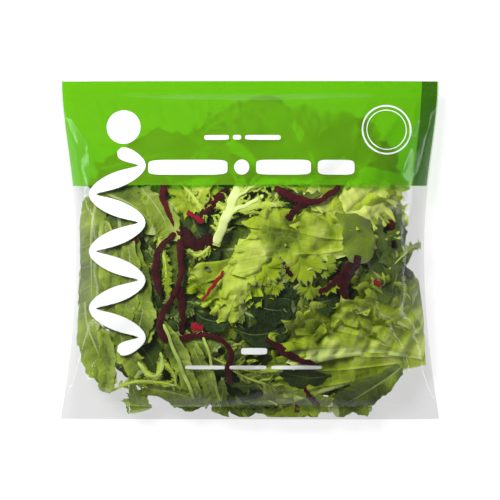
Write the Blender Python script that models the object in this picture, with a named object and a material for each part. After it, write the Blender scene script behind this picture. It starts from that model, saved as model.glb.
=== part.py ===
"""A pillow bag of mixed salad leaves, lying on its back with its front up.

The bag is one tube of film, folded at its two sides and sealed flat across its two ends. Filled with leaves it
becomes a pillow: its sides draw in at the waist, its front crowns, and its back spreads flat on what it lies on.
It is one closed solid, out to the film. +X runs across the bag, +Y to the sealed end with the printed header, and
+Z out of the front. The origin is under the middle of the bag, at the level that it lies on.
"""

import math

import bmesh
import bpy
from mathutils import Vector

# The flat bag, in metres.
BAG_WIDTH = 0.280
BAG_LENGTH = 0.250
SEAL_DEPTH = 0.009
FILM_EDGE = 0.0014
HEADER_DEPTH = 0.078

# The filled bag. It narrows slowly below the header and quickly above the base, where the leaves settle.
WAIST_INSET = 0.0395 * BAG_WIDTH
WAIST_TAPER_HEADER = 1.9
WAIST_TAPER_BASE = 1.1
CROWN_TAPER_HEADER = 0.90
CROWN_TAPER_BASE = 0.66
CROWN_ACROSS = 0.52
SEAL_LEVEL = 0.022
SEAL_WAVE = 0.0022
CORNER_DROOP = 0.007
FRONT_CROWN = 0.048
BACK_CROWN = 0.036
FLAT_BLEND = 0.004

# Creases that run into the bag from its seals, and the leaves that press against the film from inside.
CREASE_DEPTH = 0.0017
CREASE_REACH = 0.30
CREASES_ACROSS = (5.0, 8.0)
LUMP_HEIGHT = 0.0016
LUMP_SPACING = (0.071, 0.047)

SEGMENTS_ACROSS = 46
SEGMENTS_ALONG = 38
SEAL_BEGINS = 1 - 2 * SEAL_DEPTH / BAG_LENGTH

LEAF_GREEN = (0.16, 0.30, 0.04, 1.0)
PRINT_GREEN = (0.17, 0.52, 0.01, 1.0)


def half_width(along):
    """Half the bag's width at a share of its half length: full at the seals, and drawn in towards the waist."""
    taper = WAIST_TAPER_HEADER if along > 0 else WAIST_TAPER_BASE
    return BAG_WIDTH / 2 - WAIST_INSET * max(0.0, 1 - along**2) ** taper


def past_seal(along):
    """How far along the pillow is, from 0 at its middle to 1 where a seal begins."""
    return min(1.0, abs(along) / SEAL_BEGINS)


def fullness(across, along):
    """How far the film stands out, from 0 at the folds and seals to 1 in the middle: an ellipse across the bag.

    Film doesn't stretch, so along the bag it stands out as the square root of how far its sides draw in.
    """
    taper = CROWN_TAPER_HEADER if along > 0 else CROWN_TAPER_BASE
    return max(0.0, 1 - across**2) ** CROWN_ACROSS * (1 - past_seal(along) ** 2) ** taper


def seal_level(across):
    """The height of the seals and the folds: a slow wave that droops at the corners."""
    return SEAL_LEVEL + SEAL_WAVE * math.sin(2.6 * across + 0.5) - CORNER_DROOP * across**4


def crease(across, along):
    """Creases that fan out from both seals and fade into the bag."""
    depth = (1 - past_seal(along)) / CREASE_REACH
    fade = math.exp(-(depth**2)) * (1 - math.exp(-((4 * depth) ** 2))) * (1 - across**4)
    few, many = CREASES_ACROSS
    side = 1.0 if along > 0 else -1.0
    wave = math.sin(few * across * math.pi + side) + 0.6 * math.sin(many * across * math.pi - 2 * side)
    return CREASE_DEPTH * fade * wave


def lump(x, y):
    """The broad bumps of the leaves behind the film."""
    wide, narrow = LUMP_SPACING
    long_wave = math.sin(math.tau * (x + 0.4 * y) / wide) * math.cos(math.tau * (y - 0.3 * x) / wide)
    short_wave = math.sin(math.tau * (x - 0.7 * y) / narrow + 1.0) * math.sin(math.tau * y / narrow)
    return LUMP_HEIGHT * (long_wave + 0.6 * short_wave)


def front_height(across, along, x, y):
    full = fullness(across, along)
    return seal_level(across) + FRONT_CROWN * full + crease(across, along) + lump(x, y) * min(1.0, 2 * full)


def back_height(across, along):
    """The back hangs below the seals and flattens where it meets the surface that it lies on."""
    hanging = seal_level(across) - FILM_EDGE - BACK_CROWN * fullness(across, along) + 0.6 * crease(across, along)
    if hanging > FLAT_BLEND:
        return hanging
    if hanging < -FLAT_BLEND:
        return 0.0
    return (hanging + FLAT_BLEND) ** 2 / (4 * FLAT_BLEND)


def crowded(share):
    """Moves evenly spaced grid lines, from -1 to 1, closer together near both ends."""
    return 0.5 * share + 0.5 * math.sin(share * math.pi / 2)


def row_place(share):
    """Where a grid row lies along the bag: the last row is the sealed edge, and the one before it the seal's start."""
    inner_rows = 1 - 2 / SEGMENTS_ALONG
    if abs(share) > inner_rows + 0.001:
        return math.copysign(1.0, share)
    return SEAL_BEGINS * crowded(share / inner_rows)


def add_panel(shape, is_front):
    """Adds one panel of film to the shape as a grid, and returns its outer edges."""
    made = bmesh.ops.create_grid(shape, x_segments=SEGMENTS_ACROSS, y_segments=SEGMENTS_ALONG, size=1.0)
    for vertex in made["verts"]:
        across, along = crowded(vertex.co.x), row_place(vertex.co.y)
        x, y = across * half_width(along), along * BAG_LENGTH / 2
        z = front_height(across, along, x, y) if is_front else back_height(across, along)
        vertex.co = Vector((x, y, z))
    edges = {edge for vertex in made["verts"] for edge in vertex.link_edges}
    faces = {face for edge in edges for face in edge.link_faces}
    if not is_front:
        bmesh.ops.reverse_faces(shape, faces=list(faces))
    return [edge for edge in edges if edge.is_boundary]


def plain_material(name, colour, roughness):
    material = bpy.data.materials.new(name)
    material.use_nodes = True
    shader = material.node_tree.nodes["Principled BSDF"]
    shader.inputs["Base Color"].default_value = colour
    shader.inputs["Roughness"].default_value = roughness
    shader.inputs["Metallic"].default_value = 0.0
    return material


def make_salad_bag():
    """The whole bag: its front and back panels, joined round their edge by the film's folds and seals."""
    shape = bmesh.new()
    rims = add_panel(shape, is_front=True) + add_panel(shape, is_front=False)
    bmesh.ops.bridge_loops(shape, edges=rims)
    bmesh.ops.recalc_face_normals(shape, faces=shape.faces)
    header_starts = BAG_LENGTH / 2 - HEADER_DEPTH
    for face in shape.faces:
        face.material_index = 1 if face.calc_center_median().y > header_starts else 0
        face.smooth = True
    mesh = bpy.data.meshes.new("salad_bag")
    shape.to_mesh(mesh)
    shape.free()
    mesh.materials.append(plain_material("leaves_behind_film", LEAF_GREEN, 0.25))
    mesh.materials.append(plain_material("printed_header", PRINT_GREEN, 0.25))
    bag = bpy.data.objects.new("salad_bag", mesh)
    bpy.context.scene.collection.objects.link(bag)
    return bag


for leftover in list(bpy.data.objects):
    bpy.data.objects.remove(leftover)

make_salad_bag()
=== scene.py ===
"""The looks of a pillow bag of mixed salad leaves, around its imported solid.

The bag is clear film with a printed header, over lettuce, frisee, rocket, coriander, spinach and beet strips.
Every surface is worked out with numpy, in metres, in the frame of the solid: +X across the bag, +Y to its
header, +Z up. Leaves are placed in millimetres, by a path and a depth under the film.
"""

import math

import bpy
import mathutils
import numpy as np
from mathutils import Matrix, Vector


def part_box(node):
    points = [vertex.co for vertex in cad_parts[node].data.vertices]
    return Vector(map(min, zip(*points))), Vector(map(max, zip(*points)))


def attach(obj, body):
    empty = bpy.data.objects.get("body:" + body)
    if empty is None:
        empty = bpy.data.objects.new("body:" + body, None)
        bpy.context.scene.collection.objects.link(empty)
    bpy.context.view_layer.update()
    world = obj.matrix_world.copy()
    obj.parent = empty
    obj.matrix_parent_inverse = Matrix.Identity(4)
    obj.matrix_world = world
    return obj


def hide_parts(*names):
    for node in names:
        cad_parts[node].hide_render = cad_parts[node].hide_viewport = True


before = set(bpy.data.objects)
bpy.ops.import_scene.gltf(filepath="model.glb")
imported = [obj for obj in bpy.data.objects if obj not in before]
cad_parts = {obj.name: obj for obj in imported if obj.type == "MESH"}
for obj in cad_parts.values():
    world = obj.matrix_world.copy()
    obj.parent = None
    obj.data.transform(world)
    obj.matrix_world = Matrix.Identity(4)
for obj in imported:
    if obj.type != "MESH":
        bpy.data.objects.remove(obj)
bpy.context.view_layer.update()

# -----------------------------------------------------------------------------------------------------------
# The film. A tube of clear polypropylene, folded at its two sides and heat-sealed across both ends with
# crimped bars. The leaves blow it up into a pillow: it draws in at the waist, creases at the seals, and lies
# flat below.

bag_low, bag_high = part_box("salad_bag")
BAG_WIDTH = bag_high.x - bag_low.x
BAG_LENGTH = bag_high.y - bag_low.y
SEAL_DEPTH = 0.009
SEAL_BEGINS = 1 - 2 * SEAL_DEPTH / BAG_LENGTH
WAIST_INSET = 0.0395 * BAG_WIDTH
WAIST_TAPER_HEADER, WAIST_TAPER_BASE = 1.9, 1.1
CROWN_TAPER_HEADER, CROWN_TAPER_BASE = 0.90, 0.66
CROWN_ACROSS = 0.52
SEAL_LEVEL, SEAL_WAVE, CORNER_DROOP = 0.022, 0.0022, 0.007
FRONT_CROWN, BACK_CROWN = 0.048, 0.036
FLAT_BLEND = 0.004
LUMP_HEIGHT = 0.0016
LUMPS_WIDE, LUMPS_NARROW = 0.071, 0.047


def half_width(along):
    """Half the bag's width: full at the seals, less the waist's inset times (1 - along squared) to a power."""
    taper = np.where(along > 0, WAIST_TAPER_HEADER, WAIST_TAPER_BASE)
    return BAG_WIDTH / 2 - WAIST_INSET * np.clip(1 - along**2, 0, 1) ** taper


def past_seal(along):
    """How far along the pillow, from 0 at its middle to 1 where a seal begins."""
    return np.clip(np.abs(along) / SEAL_BEGINS, 0, 1)


def fullness(across, along):
    """How far the film stands out: an ellipse across the bag times a power of (1 - length squared) along."""
    taper = np.where(along > 0, CROWN_TAPER_HEADER, CROWN_TAPER_BASE)
    return np.clip(1 - across**2, 0, 1) ** CROWN_ACROSS * (1 - past_seal(along) ** 2) ** taper


def seal_level(across):
    """The height of the seals and folds: a slow sine that droops with the fourth power to the corners."""
    return SEAL_LEVEL + SEAL_WAVE * np.sin(2.6 * across + 0.5) - CORNER_DROOP * across**4


def film_lumps(x, y):
    """The leaves' broad bumps in the film: a long sine times a cosine, plus a shorter pair of sines."""
    long_wave = np.sin(math.tau * (x + 0.4 * y) / LUMPS_WIDE) * np.cos(math.tau * (y - 0.3 * x) / LUMPS_WIDE)
    short_wave = np.sin(math.tau * (x - 0.7 * y) / LUMPS_NARROW + 1.0) * np.sin(math.tau * y / LUMPS_NARROW)
    return LUMP_HEIGHT * (long_wave + 0.6 * short_wave)


def bag_shares(x, y):
    """Points as shares of the bag: across from -1 to 1 between its folds, and along from -1 to 1."""
    along = np.clip(y / (BAG_LENGTH / 2), -1, 1)
    return np.clip(x / half_width(along), -1, 1), along


def front_film(x, y):
    """The height of the front film: the seals' level, plus the crown times the fullness, plus the lumps."""
    across, along = bag_shares(x, y)
    full = fullness(across, along)
    return seal_level(across) + FRONT_CROWN * full + film_lumps(x, y) * np.minimum(1, 2 * full)


def back_film(x, y):
    """The height of the back film: it hangs below the seals, and a parabola blends it flat on the table."""
    across, along = bag_shares(x, y)
    hanging = seal_level(across) - BACK_CROWN * fullness(across, along)
    blend = (np.clip(hanging, -FLAT_BLEND, FLAT_BLEND) + FLAT_BLEND) ** 2 / (4 * FLAT_BLEND)
    return np.where(hanging > FLAT_BLEND, hanging, blend)


SEAL_CREASES, CORNER_CREASES, FOLD_CREASES = 64, 16, 44
CREASE_HEIGHTS = ((-0.0009, 0.0013), (0.0006, 0.0016), (-0.0004, 0.0007))
CREASE_SPREADS = ((0.0010, 0.0030), (0.0015, 0.0040), (0.0010, 0.0022))


def crease_lines(seed):
    """Where the film creases: fans out of both seals, tension folds out of the corners, and puckers at the
    folds. Each is a straight line with a height and a spread."""
    chance = np.random.default_rng(seed)
    counts = (SEAL_CREASES, CORNER_CREASES, FOLD_CREASES)
    end = np.where(np.arange(SEAL_CREASES) % 2 == 0, 1.0, -1.0)
    seal_x = chance.uniform(-0.13, 0.13, SEAL_CREASES)
    reach = chance.uniform(0.014, 0.050, SEAL_CREASES)
    lean = chance.uniform(-0.35, 0.35, SEAL_CREASES) - seal_x / BAG_WIDTH
    corner = np.column_stack([np.repeat([-1.0, 1.0], 8), np.tile([-1.0, 1.0], 8)])
    corner_x, corner_y = chance.uniform(0.112, 0.136, 16), chance.uniform(0.098, 0.117, 16)
    inward_x, inward_y = chance.uniform(0.012, 0.045, 16), chance.uniform(0.02, 0.06, 16)
    fold = np.where(np.arange(FOLD_CREASES) % 2 == 0, 1.0, -1.0)
    fold_y = chance.uniform(-0.10, 0.10, FOLD_CREASES)
    fold_reach = chance.uniform(0.012, 0.035, FOLD_CREASES)
    fold_slope = chance.uniform(-0.012, 0.012, FOLD_CREASES)
    starts = np.concatenate([np.column_stack([seal_x, end * (BAG_LENGTH / 2 - SEAL_DEPTH)]),
                             corner * np.column_stack([corner_x, corner_y]),
                             np.column_stack([fold * 0.131, fold_y])])
    runs = np.concatenate([np.column_stack([lean * reach, -end * reach]),
                           -corner * np.column_stack([inward_x, inward_y]),
                           np.column_stack([-fold * fold_reach, fold_slope])])
    heights = np.concatenate([chance.uniform(*band, count) for band, count in zip(CREASE_HEIGHTS, counts)])
    spreads = np.concatenate([chance.uniform(*band, count) for band, count in zip(CREASE_SPREADS, counts)])
    return starts, starts + runs, heights, spreads


def ridges(x, y, starts, ends, heights, spreads):
    """Straight creases: each a bell across its own line, times a parabola that is 0 at the line's two ends."""
    relief = np.zeros_like(x)
    for (x0, y0), (x1, y1), height, spread in zip(starts, ends, heights, spreads):
        run_x, run_y = x1 - x0, y1 - y0
        length = math.hypot(run_x, run_y)
        share = ((x - x0) * run_x + (y - y0) * run_y) / length**2
        off = np.abs((x - x0) * run_y - (y - y0) * run_x) / length
        taper = np.clip(4 * share * (1 - share), 0, 1)
        relief += height * taper * np.exp(-((off / (spread * (0.4 + 0.6 * taper))) ** 1.5))
    return relief


def soft_noise(x, y, spacing, seed, waves=6):
    """Smooth unevenness, about -1 to 1: a sum of plane sine waves in scattered directions, near one spacing."""
    chance = np.random.default_rng(seed)
    total = np.zeros_like(x)
    for _ in range(waves):
        heading, shift = chance.uniform(0, math.tau, 2)
        pitch = spacing * chance.uniform(0.7, 1.45)
        total += np.sin(math.tau * (x * math.cos(heading) + y * math.sin(heading)) / pitch + shift)
    return total / math.sqrt(1.5 * waves)


def grid_quads(rows, columns, wraps=False):
    """The quads of a grid of points, row by row. With wraps, the last column joins the first."""
    across = columns if wraps else columns - 1
    row, column = np.meshgrid(np.arange(rows - 1), np.arange(across), indexing="ij")
    here, beside = row * columns + column, row * columns + (column + 1) % columns
    return np.stack([here, beside, beside + columns, here + columns], axis=-1).reshape(-1, 4)


def end_quads(first, around):
    """The quads that close a ring of points from one side to the other. The ring starts at point first."""
    step = np.arange(around // 2 - 1)
    return first + np.stack([step, step + 1, around - 2 - step, around - 1 - step], axis=-1)


def place_piece(mesh, finish):
    """Puts a mesh into the scene under its own name, in one finish, riding on the bag."""
    mesh.polygons.foreach_set("use_smooth", np.ones(len(mesh.polygons), bool))
    mesh.materials.append(finish)
    piece = bpy.data.objects.new(mesh.name, mesh)
    bpy.context.scene.collection.objects.link(piece)
    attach(piece, "root")
    return piece


def make_piece(name, shape, finish):
    """Makes a piece from a shape: its points, its quads, and any UV map and point attributes it has."""
    points, quads, uv, marks = (*shape, None, None)[:4]
    mesh = bpy.data.meshes.new(name)
    mesh.vertices.add(len(points))
    mesh.vertices.foreach_set("co", points.astype(np.float32).ravel())
    mesh.loops.add(quads.size)
    mesh.loops.foreach_set("vertex_index", quads.astype(np.int32).ravel())
    mesh.polygons.add(len(quads))
    mesh.polygons.foreach_set("loop_start", np.arange(0, quads.size, 4, dtype=np.int32))
    if uv is not None:
        layer = mesh.uv_layers.new(name="leaf")
        layer.data.foreach_set("uv", uv[quads.ravel()].astype(np.float32).ravel())
    for mark, values in (marks or {}).items():
        attribute = mesh.attributes.new(mark, "FLOAT", "POINT")
        attribute.data.foreach_set("value", values.astype(np.float32))
    mesh.update(calc_edges=True)
    mesh.validate()
    return place_piece(mesh, finish)


def new_finish(name):
    """An empty node material, and its tree."""
    finish = bpy.data.materials.new(name)
    finish.use_nodes = True
    finish.node_tree.nodes.clear()
    return finish, finish.node_tree


def wire(tree, kind, inputs=None, **settings):
    """Adds a node, sets its fields, and sets or links its inputs, given by name or number."""
    made = tree.nodes.new("ShaderNode" + kind)
    for field, value in settings.items():
        setattr(made, field, value)
    for key, value in (inputs or {}).items():
        if isinstance(value, bpy.types.NodeSocket):
            tree.links.new(value, made.inputs[key])
        else:
            made.inputs[key].default_value = value
    return made


def math_of(tree, operation, first, second=0.0, third=0.0):
    """The socket of one Math node."""
    return wire(tree, "Math", {0: first, 1: second, 2: third}, operation=operation).outputs[0]


def cloud_on(tree, scale, detail, place=None, **more):
    """A soft noise on a place, or on Object coordinates."""
    if place is None:
        place = wire(tree, "TexCoord").outputs["Object"]
    return wire(tree, "TexNoise", {"Vector": place, "Scale": scale, "Detail": detail, **more}).outputs["Fac"]


def raised(tree, height, strength, distance):
    """The normal of a bumpy surface."""
    return wire(tree, "Bump", {"Height": height, "Strength": strength, "Distance": distance}).outputs["Normal"]


def blended(tree, share, first, second):
    """One shader blended into another."""
    return wire(tree, "MixShader", {0: share, 1: first, 2: second}).outputs[0]


FILM_AROUND, FILM_ALONG, SEAL_ROWS = 340, 130, 24
CRIMP_PITCH, CRIMP_RELIEF = 0.0016, 0.00003
FILM_GAP = 0.0010
ARCH_LEVEL, ARCH_RISE, ARCH_SPREAD, ARCH_RELIEF = 0.1105, 0.0050, 0.0022, 0.0011
FRONT_CREASES, BACK_CREASES = 11, 23
CLEAR_OF_TABLE = 0.006


def film_relief(x, y, along, seed):
    """The film's fine relief: its creases, a soft unevenness and an arch under the header's seal, fading to
    the seals' fine crimped ribs."""
    in_pillow = np.clip((1 - past_seal(along)) * 14, 0, 1)
    loose = ridges(x, y, *crease_lines(seed)) + 0.00022 * soft_noise(x, y, 0.021, seed)
    arch_y = ARCH_LEVEL + ARCH_RISE * (x / BAG_WIDTH * 2) ** 2
    loose += ARCH_RELIEF * np.exp(-(((y - arch_y) / ARCH_SPREAD) ** 2))
    crimp = CRIMP_RELIEF * np.sin(math.tau * y / CRIMP_PITCH)
    return loose * in_pillow + crimp * (1 - in_pillow)


def creased_film(x, y, across, along, on_front):
    """The film's height with its relief and half the gap between its two walls, both fading at the folds."""
    rim = np.clip((1 - across**2) * 12, 0, 1)
    if on_front:
        return front_film(x, y) + film_relief(x, y, along, FRONT_CREASES) * rim + FILM_GAP / 2 * rim
    lifted = np.clip(back_film(x, y) / CLEAR_OF_TABLE, 0, 1)
    return back_film(x, y) - film_relief(x, y, along, BACK_CREASES) * rim * lifted - FILM_GAP / 2 * rim


def film_tube():
    """The film as a closed tube: an angle runs round it, cosine across, front half then back half, and rows
    run along it, crowded into the seals. The rows at both ends are closed by quads from front to back."""
    turn = math.pi * np.arange(FILM_AROUND) / (FILM_AROUND / 2)
    last = math.pi / 2 * 0.9
    inner = SEAL_BEGINS * np.sin(np.linspace(-1, 1, FILM_ALONG) * last) / math.sin(last)
    seal = np.linspace(SEAL_BEGINS, 1, SEAL_ROWS)[1:]
    along, angle = np.meshgrid(np.concatenate([-seal[::-1], inner, seal]), turn, indexing="ij")
    across = -np.cos(angle)
    x, y = across * half_width(along), along * BAG_LENGTH / 2
    front = creased_film(x, y, across, along, on_front=True)
    back = np.clip(creased_film(x, y, across, along, on_front=False), 0, None)
    points = np.stack([x, y, np.where(angle <= math.pi, front, back)], axis=-1)
    rows = len(points)
    quads = grid_quads(rows, FILM_AROUND, wraps=True)
    low = end_quads(0, FILM_AROUND)[:, ::-1]
    high = end_quads((rows - 1) * FILM_AROUND, FILM_AROUND)
    return points.reshape(-1, 3), np.concatenate([quads, low, high])


def film_finish():
    """Clear film: see-through, mirroring more at a slant, with a faint milky haze and fine puckers."""
    finish, tree = new_finish("clear_film")
    bump = raised(tree, cloud_on(tree, 55.0, 3.0, Roughness=0.45), 0.22, 0.0012)
    slant = wire(tree, "LayerWeight", {"Blend": 0.5, "Normal": bump}).outputs["Facing"]
    mirror = math_of(tree, "MULTIPLY_ADD", math_of(tree, "POWER", slant, 3.5), 0.55, 0.015)
    clear = wire(tree, "BsdfTransparent", {"Color": (0.848, 0.851, 0.848, 1)}).outputs[0]
    gloss = wire(tree, "BsdfGlossy", {"Color": (1, 1, 1, 1), "Roughness": 0.13, "Normal": bump}).outputs[0]
    milk = wire(tree, "BsdfDiffuse", {"Color": (0.80, 0.81, 0.80, 1)}).outputs[0]
    film = blended(tree, mirror, blended(tree, 0.005, clear, milk), gloss)
    wire(tree, "OutputMaterial", {"Surface": film})
    return finish


film = make_piece("film", film_tube(), film_finish())
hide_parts("salad_bag")

# -----------------------------------------------------------------------------------------------------------
# The print. Green ink covers the header, front and back, just inside the gloss of the film. White ink on top
# of it makes plain shapes: bars, a disc, two rings, and a ribbon that swings down the left side.

HEADER_LOW = 0.0475
HEADER_ROWS, HEADER_COLUMNS, SIDE_COLUMNS = 64, 180, 18
INK_UNDER_FILM, WHITE_UNDER_FILM = 0.00075, 0.00028
PRINT_EDGE, FRONT_EDGE = 0.994, 0.905
SIDE_EDGE, SIDE_END = 0.907, 0.98963


def ink_on_film(x, y, under, on_front=True):
    """Lays points of the print along the film, a hair under its outside, following its creases. Where the
    two films meet in a seal, the hair is thinner."""
    across, along = bag_shares(x, y)
    under = under * (0.35 + 0.65 * np.clip((1 - past_seal(along)) * 14, 0, 1))
    inward = under * np.clip((1 - across**2) * 12, 0, 1)
    film_height = creased_film(x, y, across, along, on_front)
    z = film_height - inward if on_front else np.maximum(film_height + inward, under)
    return np.stack([x, y, z], axis=-1)


def header_panel(left, right, columns, under, on_front):
    """A panel of green ink: a grid from left to right, as shares, and from the window to the seal."""
    y = np.linspace(HEADER_LOW, BAG_LENGTH / 2 - 0.0003, HEADER_ROWS)
    share, y = np.meshgrid(np.linspace(left, right, columns), y)
    points = ink_on_film(share * half_width(y / (BAG_LENGTH / 2)), y, under, on_front).reshape(-1, 3)
    return points, grid_quads(HEADER_ROWS, columns)[:, :: 1 if on_front else -1]


def mixed(tree, share, first, second):
    """One colour mixed into another. Each is a colour or a socket."""
    first, second = ((*colour, 1) if isinstance(colour, tuple) else colour for colour in (first, second))
    return wire(tree, "Mix", {0: share, 6: first, 7: second}, data_type="RGBA").outputs[2]


def green_ink_finish(name, deep, bright, through_ink, cover):
    """Green ink that lets some light through, so that the leaves behind it show as darker shapes. The side
    strip and the back panel are given darker greens than the front, as painted shade.
    """
    finish, tree = new_finish(name)
    ink = mixed(tree, cloud_on(tree, 18.0, 2.0), deep, bright)
    solid = wire(tree, "BsdfPrincipled", {"Base Color": ink, "Roughness": 0.42, "Specular IOR Level": 0.2})
    through = wire(tree, "BsdfTransparent", {"Color": (*through_ink, 1)})
    wire(tree, "OutputMaterial", {"Surface": blended(tree, cover, through.outputs[0], solid.outputs[0])})
    return finish


def header_print(name, panel, finish_name, deep, bright, through_ink, cover):
    """One panel of the header's ink, as a piece."""
    make_piece(name, panel, green_ink_finish(finish_name, deep, bright, through_ink, cover))


header_print("header_print_front", header_panel(-PRINT_EDGE, FRONT_EDGE, HEADER_COLUMNS, INK_UNDER_FILM, True),
             "green_print", (0.172, 0.465, 0.001), (0.204, 0.516, 0.002), (0.38, 0.88, 0.02), 0.42)
# Painted shade: the side strip and the back panel are darker greens than the front, for the back print seen in
# the shade inside the bag.
header_print("header_print_side", header_panel(SIDE_EDGE, SIDE_END, SIDE_COLUMNS, INK_UNDER_FILM, True),
             "green_print_side_painted_shade", (0.030, 0.085, 0.003), (0.050, 0.125, 0.004), (0.22, 0.42, 0.05), 0.55)
back_panel = header_panel(-PRINT_EDGE, PRINT_EDGE, HEADER_COLUMNS, WHITE_UNDER_FILM, False)
header_print("header_print_back", back_panel,
             "green_print_inside_painted_shade", (0.070, 0.230, 0.004), (0.100, 0.290, 0.006), (0.25, 0.72, 0.02), 0.12)

WAVE_X, WAVE_TOP, WAVE_LENGTH = -0.0975, 0.0725, 0.1470
WAVE_REACH, WAVE_COUNT, WAVE_BAND = 0.0185, 3.5, 0.0058
SHAPE_AROUND, DISC_RINGS, RING_RINGS = 72, 14, 7


def rounded_shape(middle, size, squareness=2.0, hollow=0.0):
    """A flat white shape: rings of points from its middle, or from a hollow share, out to a superellipse."""
    turn = np.linspace(0, math.tau, SHAPE_AROUND + 1)[:-1]
    ring_count = RING_RINGS if hollow else DISC_RINGS
    radius, angle = np.meshgrid(np.linspace(hollow, 1, ring_count), turn, indexing="ij")
    cosine, sine = np.cos(angle), np.sin(angle)
    power = 2 / squareness
    x = middle[0] + radius * size[0] / 2 * np.sign(cosine) * np.abs(cosine) ** power
    y = middle[1] + radius * size[1] / 2 * np.sign(sine) * np.abs(sine) ** power
    return ink_on_film(x, y, WHITE_UNDER_FILM)


def bar_row(left, y, lengths, gap, height):
    """A row of round-ended bars of the given lengths."""
    shapes = []
    for length in lengths:
        squareness = max(2.0, min(6.0, length / height * 2))
        shapes.append(rounded_shape((left + length / 2, y), (length, height), squareness))
        left += length + gap
    return shapes


def white_shapes():
    """The white print: title bars, a small line of bars, a disc, two rings and the foot's bars."""
    shapes = bar_row(-0.0745, 0.0605, (0.058, 0.011, 0.040, 0.027), 0.0050, 0.0110)
    shapes += bar_row(-0.0335, 0.0825, (0.018, 0.006, 0.026), 0.0030, 0.0036)
    shapes.append(rounded_shape((-0.0930, 0.0905), (0.0250, 0.0250)))
    shapes.append(rounded_shape((0.1005, 0.0885), (0.0370, 0.0370), hollow=0.93))
    shapes.append(rounded_shape((0.1005, 0.0885), (0.0300, 0.0300), hollow=0.95))
    shapes += bar_row(-0.0065, -0.0740, (0.019,), 0.0, 0.0048)
    shapes += bar_row(-0.0475, -0.0860, (0.0290, 0.0270, 0.0370), 0.0035, 0.0028)
    return shapes


def wave_ribbon():
    """A band that swings from side to side down the bag: a sine's course, with a half width set off square to
    it, widest where it turns and rounded off at both ends."""
    share, side = np.meshgrid(np.linspace(0, 1, 260), np.linspace(-1, 1, 9), indexing="ij")
    swing = WAVE_COUNT * math.tau * share
    slope_x, slope_y = WAVE_REACH * WAVE_COUNT * math.tau * np.cos(swing), -WAVE_LENGTH
    slope = np.hypot(slope_x, slope_y)
    rounded = np.maximum(1 - np.abs(2 * share - 1) ** 60, 0) ** 0.5
    half = WAVE_BAND * rounded * (0.72 + 0.28 * np.cos(2 * swing))
    x = WAVE_X + WAVE_REACH * np.sin(swing) - slope_y / slope * half * side
    y = WAVE_TOP - WAVE_LENGTH * share + slope_x / slope * half * side
    return ink_on_film(x, y, WHITE_UNDER_FILM)


def joined(grids, wraps):
    """The points and quads of several grids as one shape."""
    sizes = [grid.shape[:2] for grid in grids]
    firsts = np.cumsum([0] + [rows * columns for rows, columns in sizes])
    quads = [grid_quads(rows, columns, wrap) + first
             for (rows, columns), wrap, first in zip(sizes, wraps, firsts)]
    return np.concatenate([grid.reshape(-1, 3) for grid in grids]), np.concatenate(quads)[:, ::-1]


def white_ink_finish():
    """Opaque white ink, a little uneven."""
    finish, tree = new_finish("white_print")
    ink = mixed(tree, cloud_on(tree, 140.0, 2.0), (0.80, 0.81, 0.80), (0.86, 0.87, 0.86))
    solid = wire(tree, "BsdfPrincipled", {"Base Color": ink, "Roughness": 0.4}).outputs[0]
    wire(tree, "OutputMaterial", {"Surface": solid})
    return finish


white_grids = white_shapes()
white_shape = joined([*white_grids, wave_ribbon()], [True] * len(white_grids) + [False])
make_piece("white_print", white_shape, white_ink_finish())

# -----------------------------------------------------------------------------------------------------------
# The core. Deep between the leaves there is only shade: a lumpy closed mass of packed leaves, coloured nearly
# black as painted shade, that never shows as itself, well inside the ones that do.

HEAP_TOP = ((-0.130, -0.075, -0.022, -0.004, 0.022, 0.050, 0.100, 0.130),
            (0.050, 0.062, 0.078, 0.108, 0.108, 0.097, 0.093, 0.080))
HEAP_FOOT = ((-0.130, -0.106, -0.094, -0.074, -0.036, -0.012, 0.004, 0.012, 0.044, 0.070, 0.086, 0.102, 0.130),
             (-0.078, -0.100, -0.110, -0.117, -0.116, -0.121, -0.114, -0.121, -0.121, -0.117, -0.106, -0.092,
               -0.084))
HEAP_RIGHT = ((-0.090, -0.010, 0.000, 0.030, 0.060, 0.100), (0.126, 0.124, 0.107, 0.103, 0.106, 0.114))
HEAP_LEFT = -0.125
CORE_SHARE, CORE_INSET = 0.56, 0.014
CORE_ROWS, CORE_AROUND = 70, 140


def in_heap(x, y, inset):
    """Draws points inside the heap's outline, less an inset. Its foot, top and right are broken lines."""
    x = np.clip(x, HEAP_LEFT + inset, np.interp(y, *HEAP_RIGHT) - inset)
    return x, np.clip(y, np.interp(x, *HEAP_FOOT) + inset, np.interp(x, *HEAP_TOP) - inset)


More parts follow.
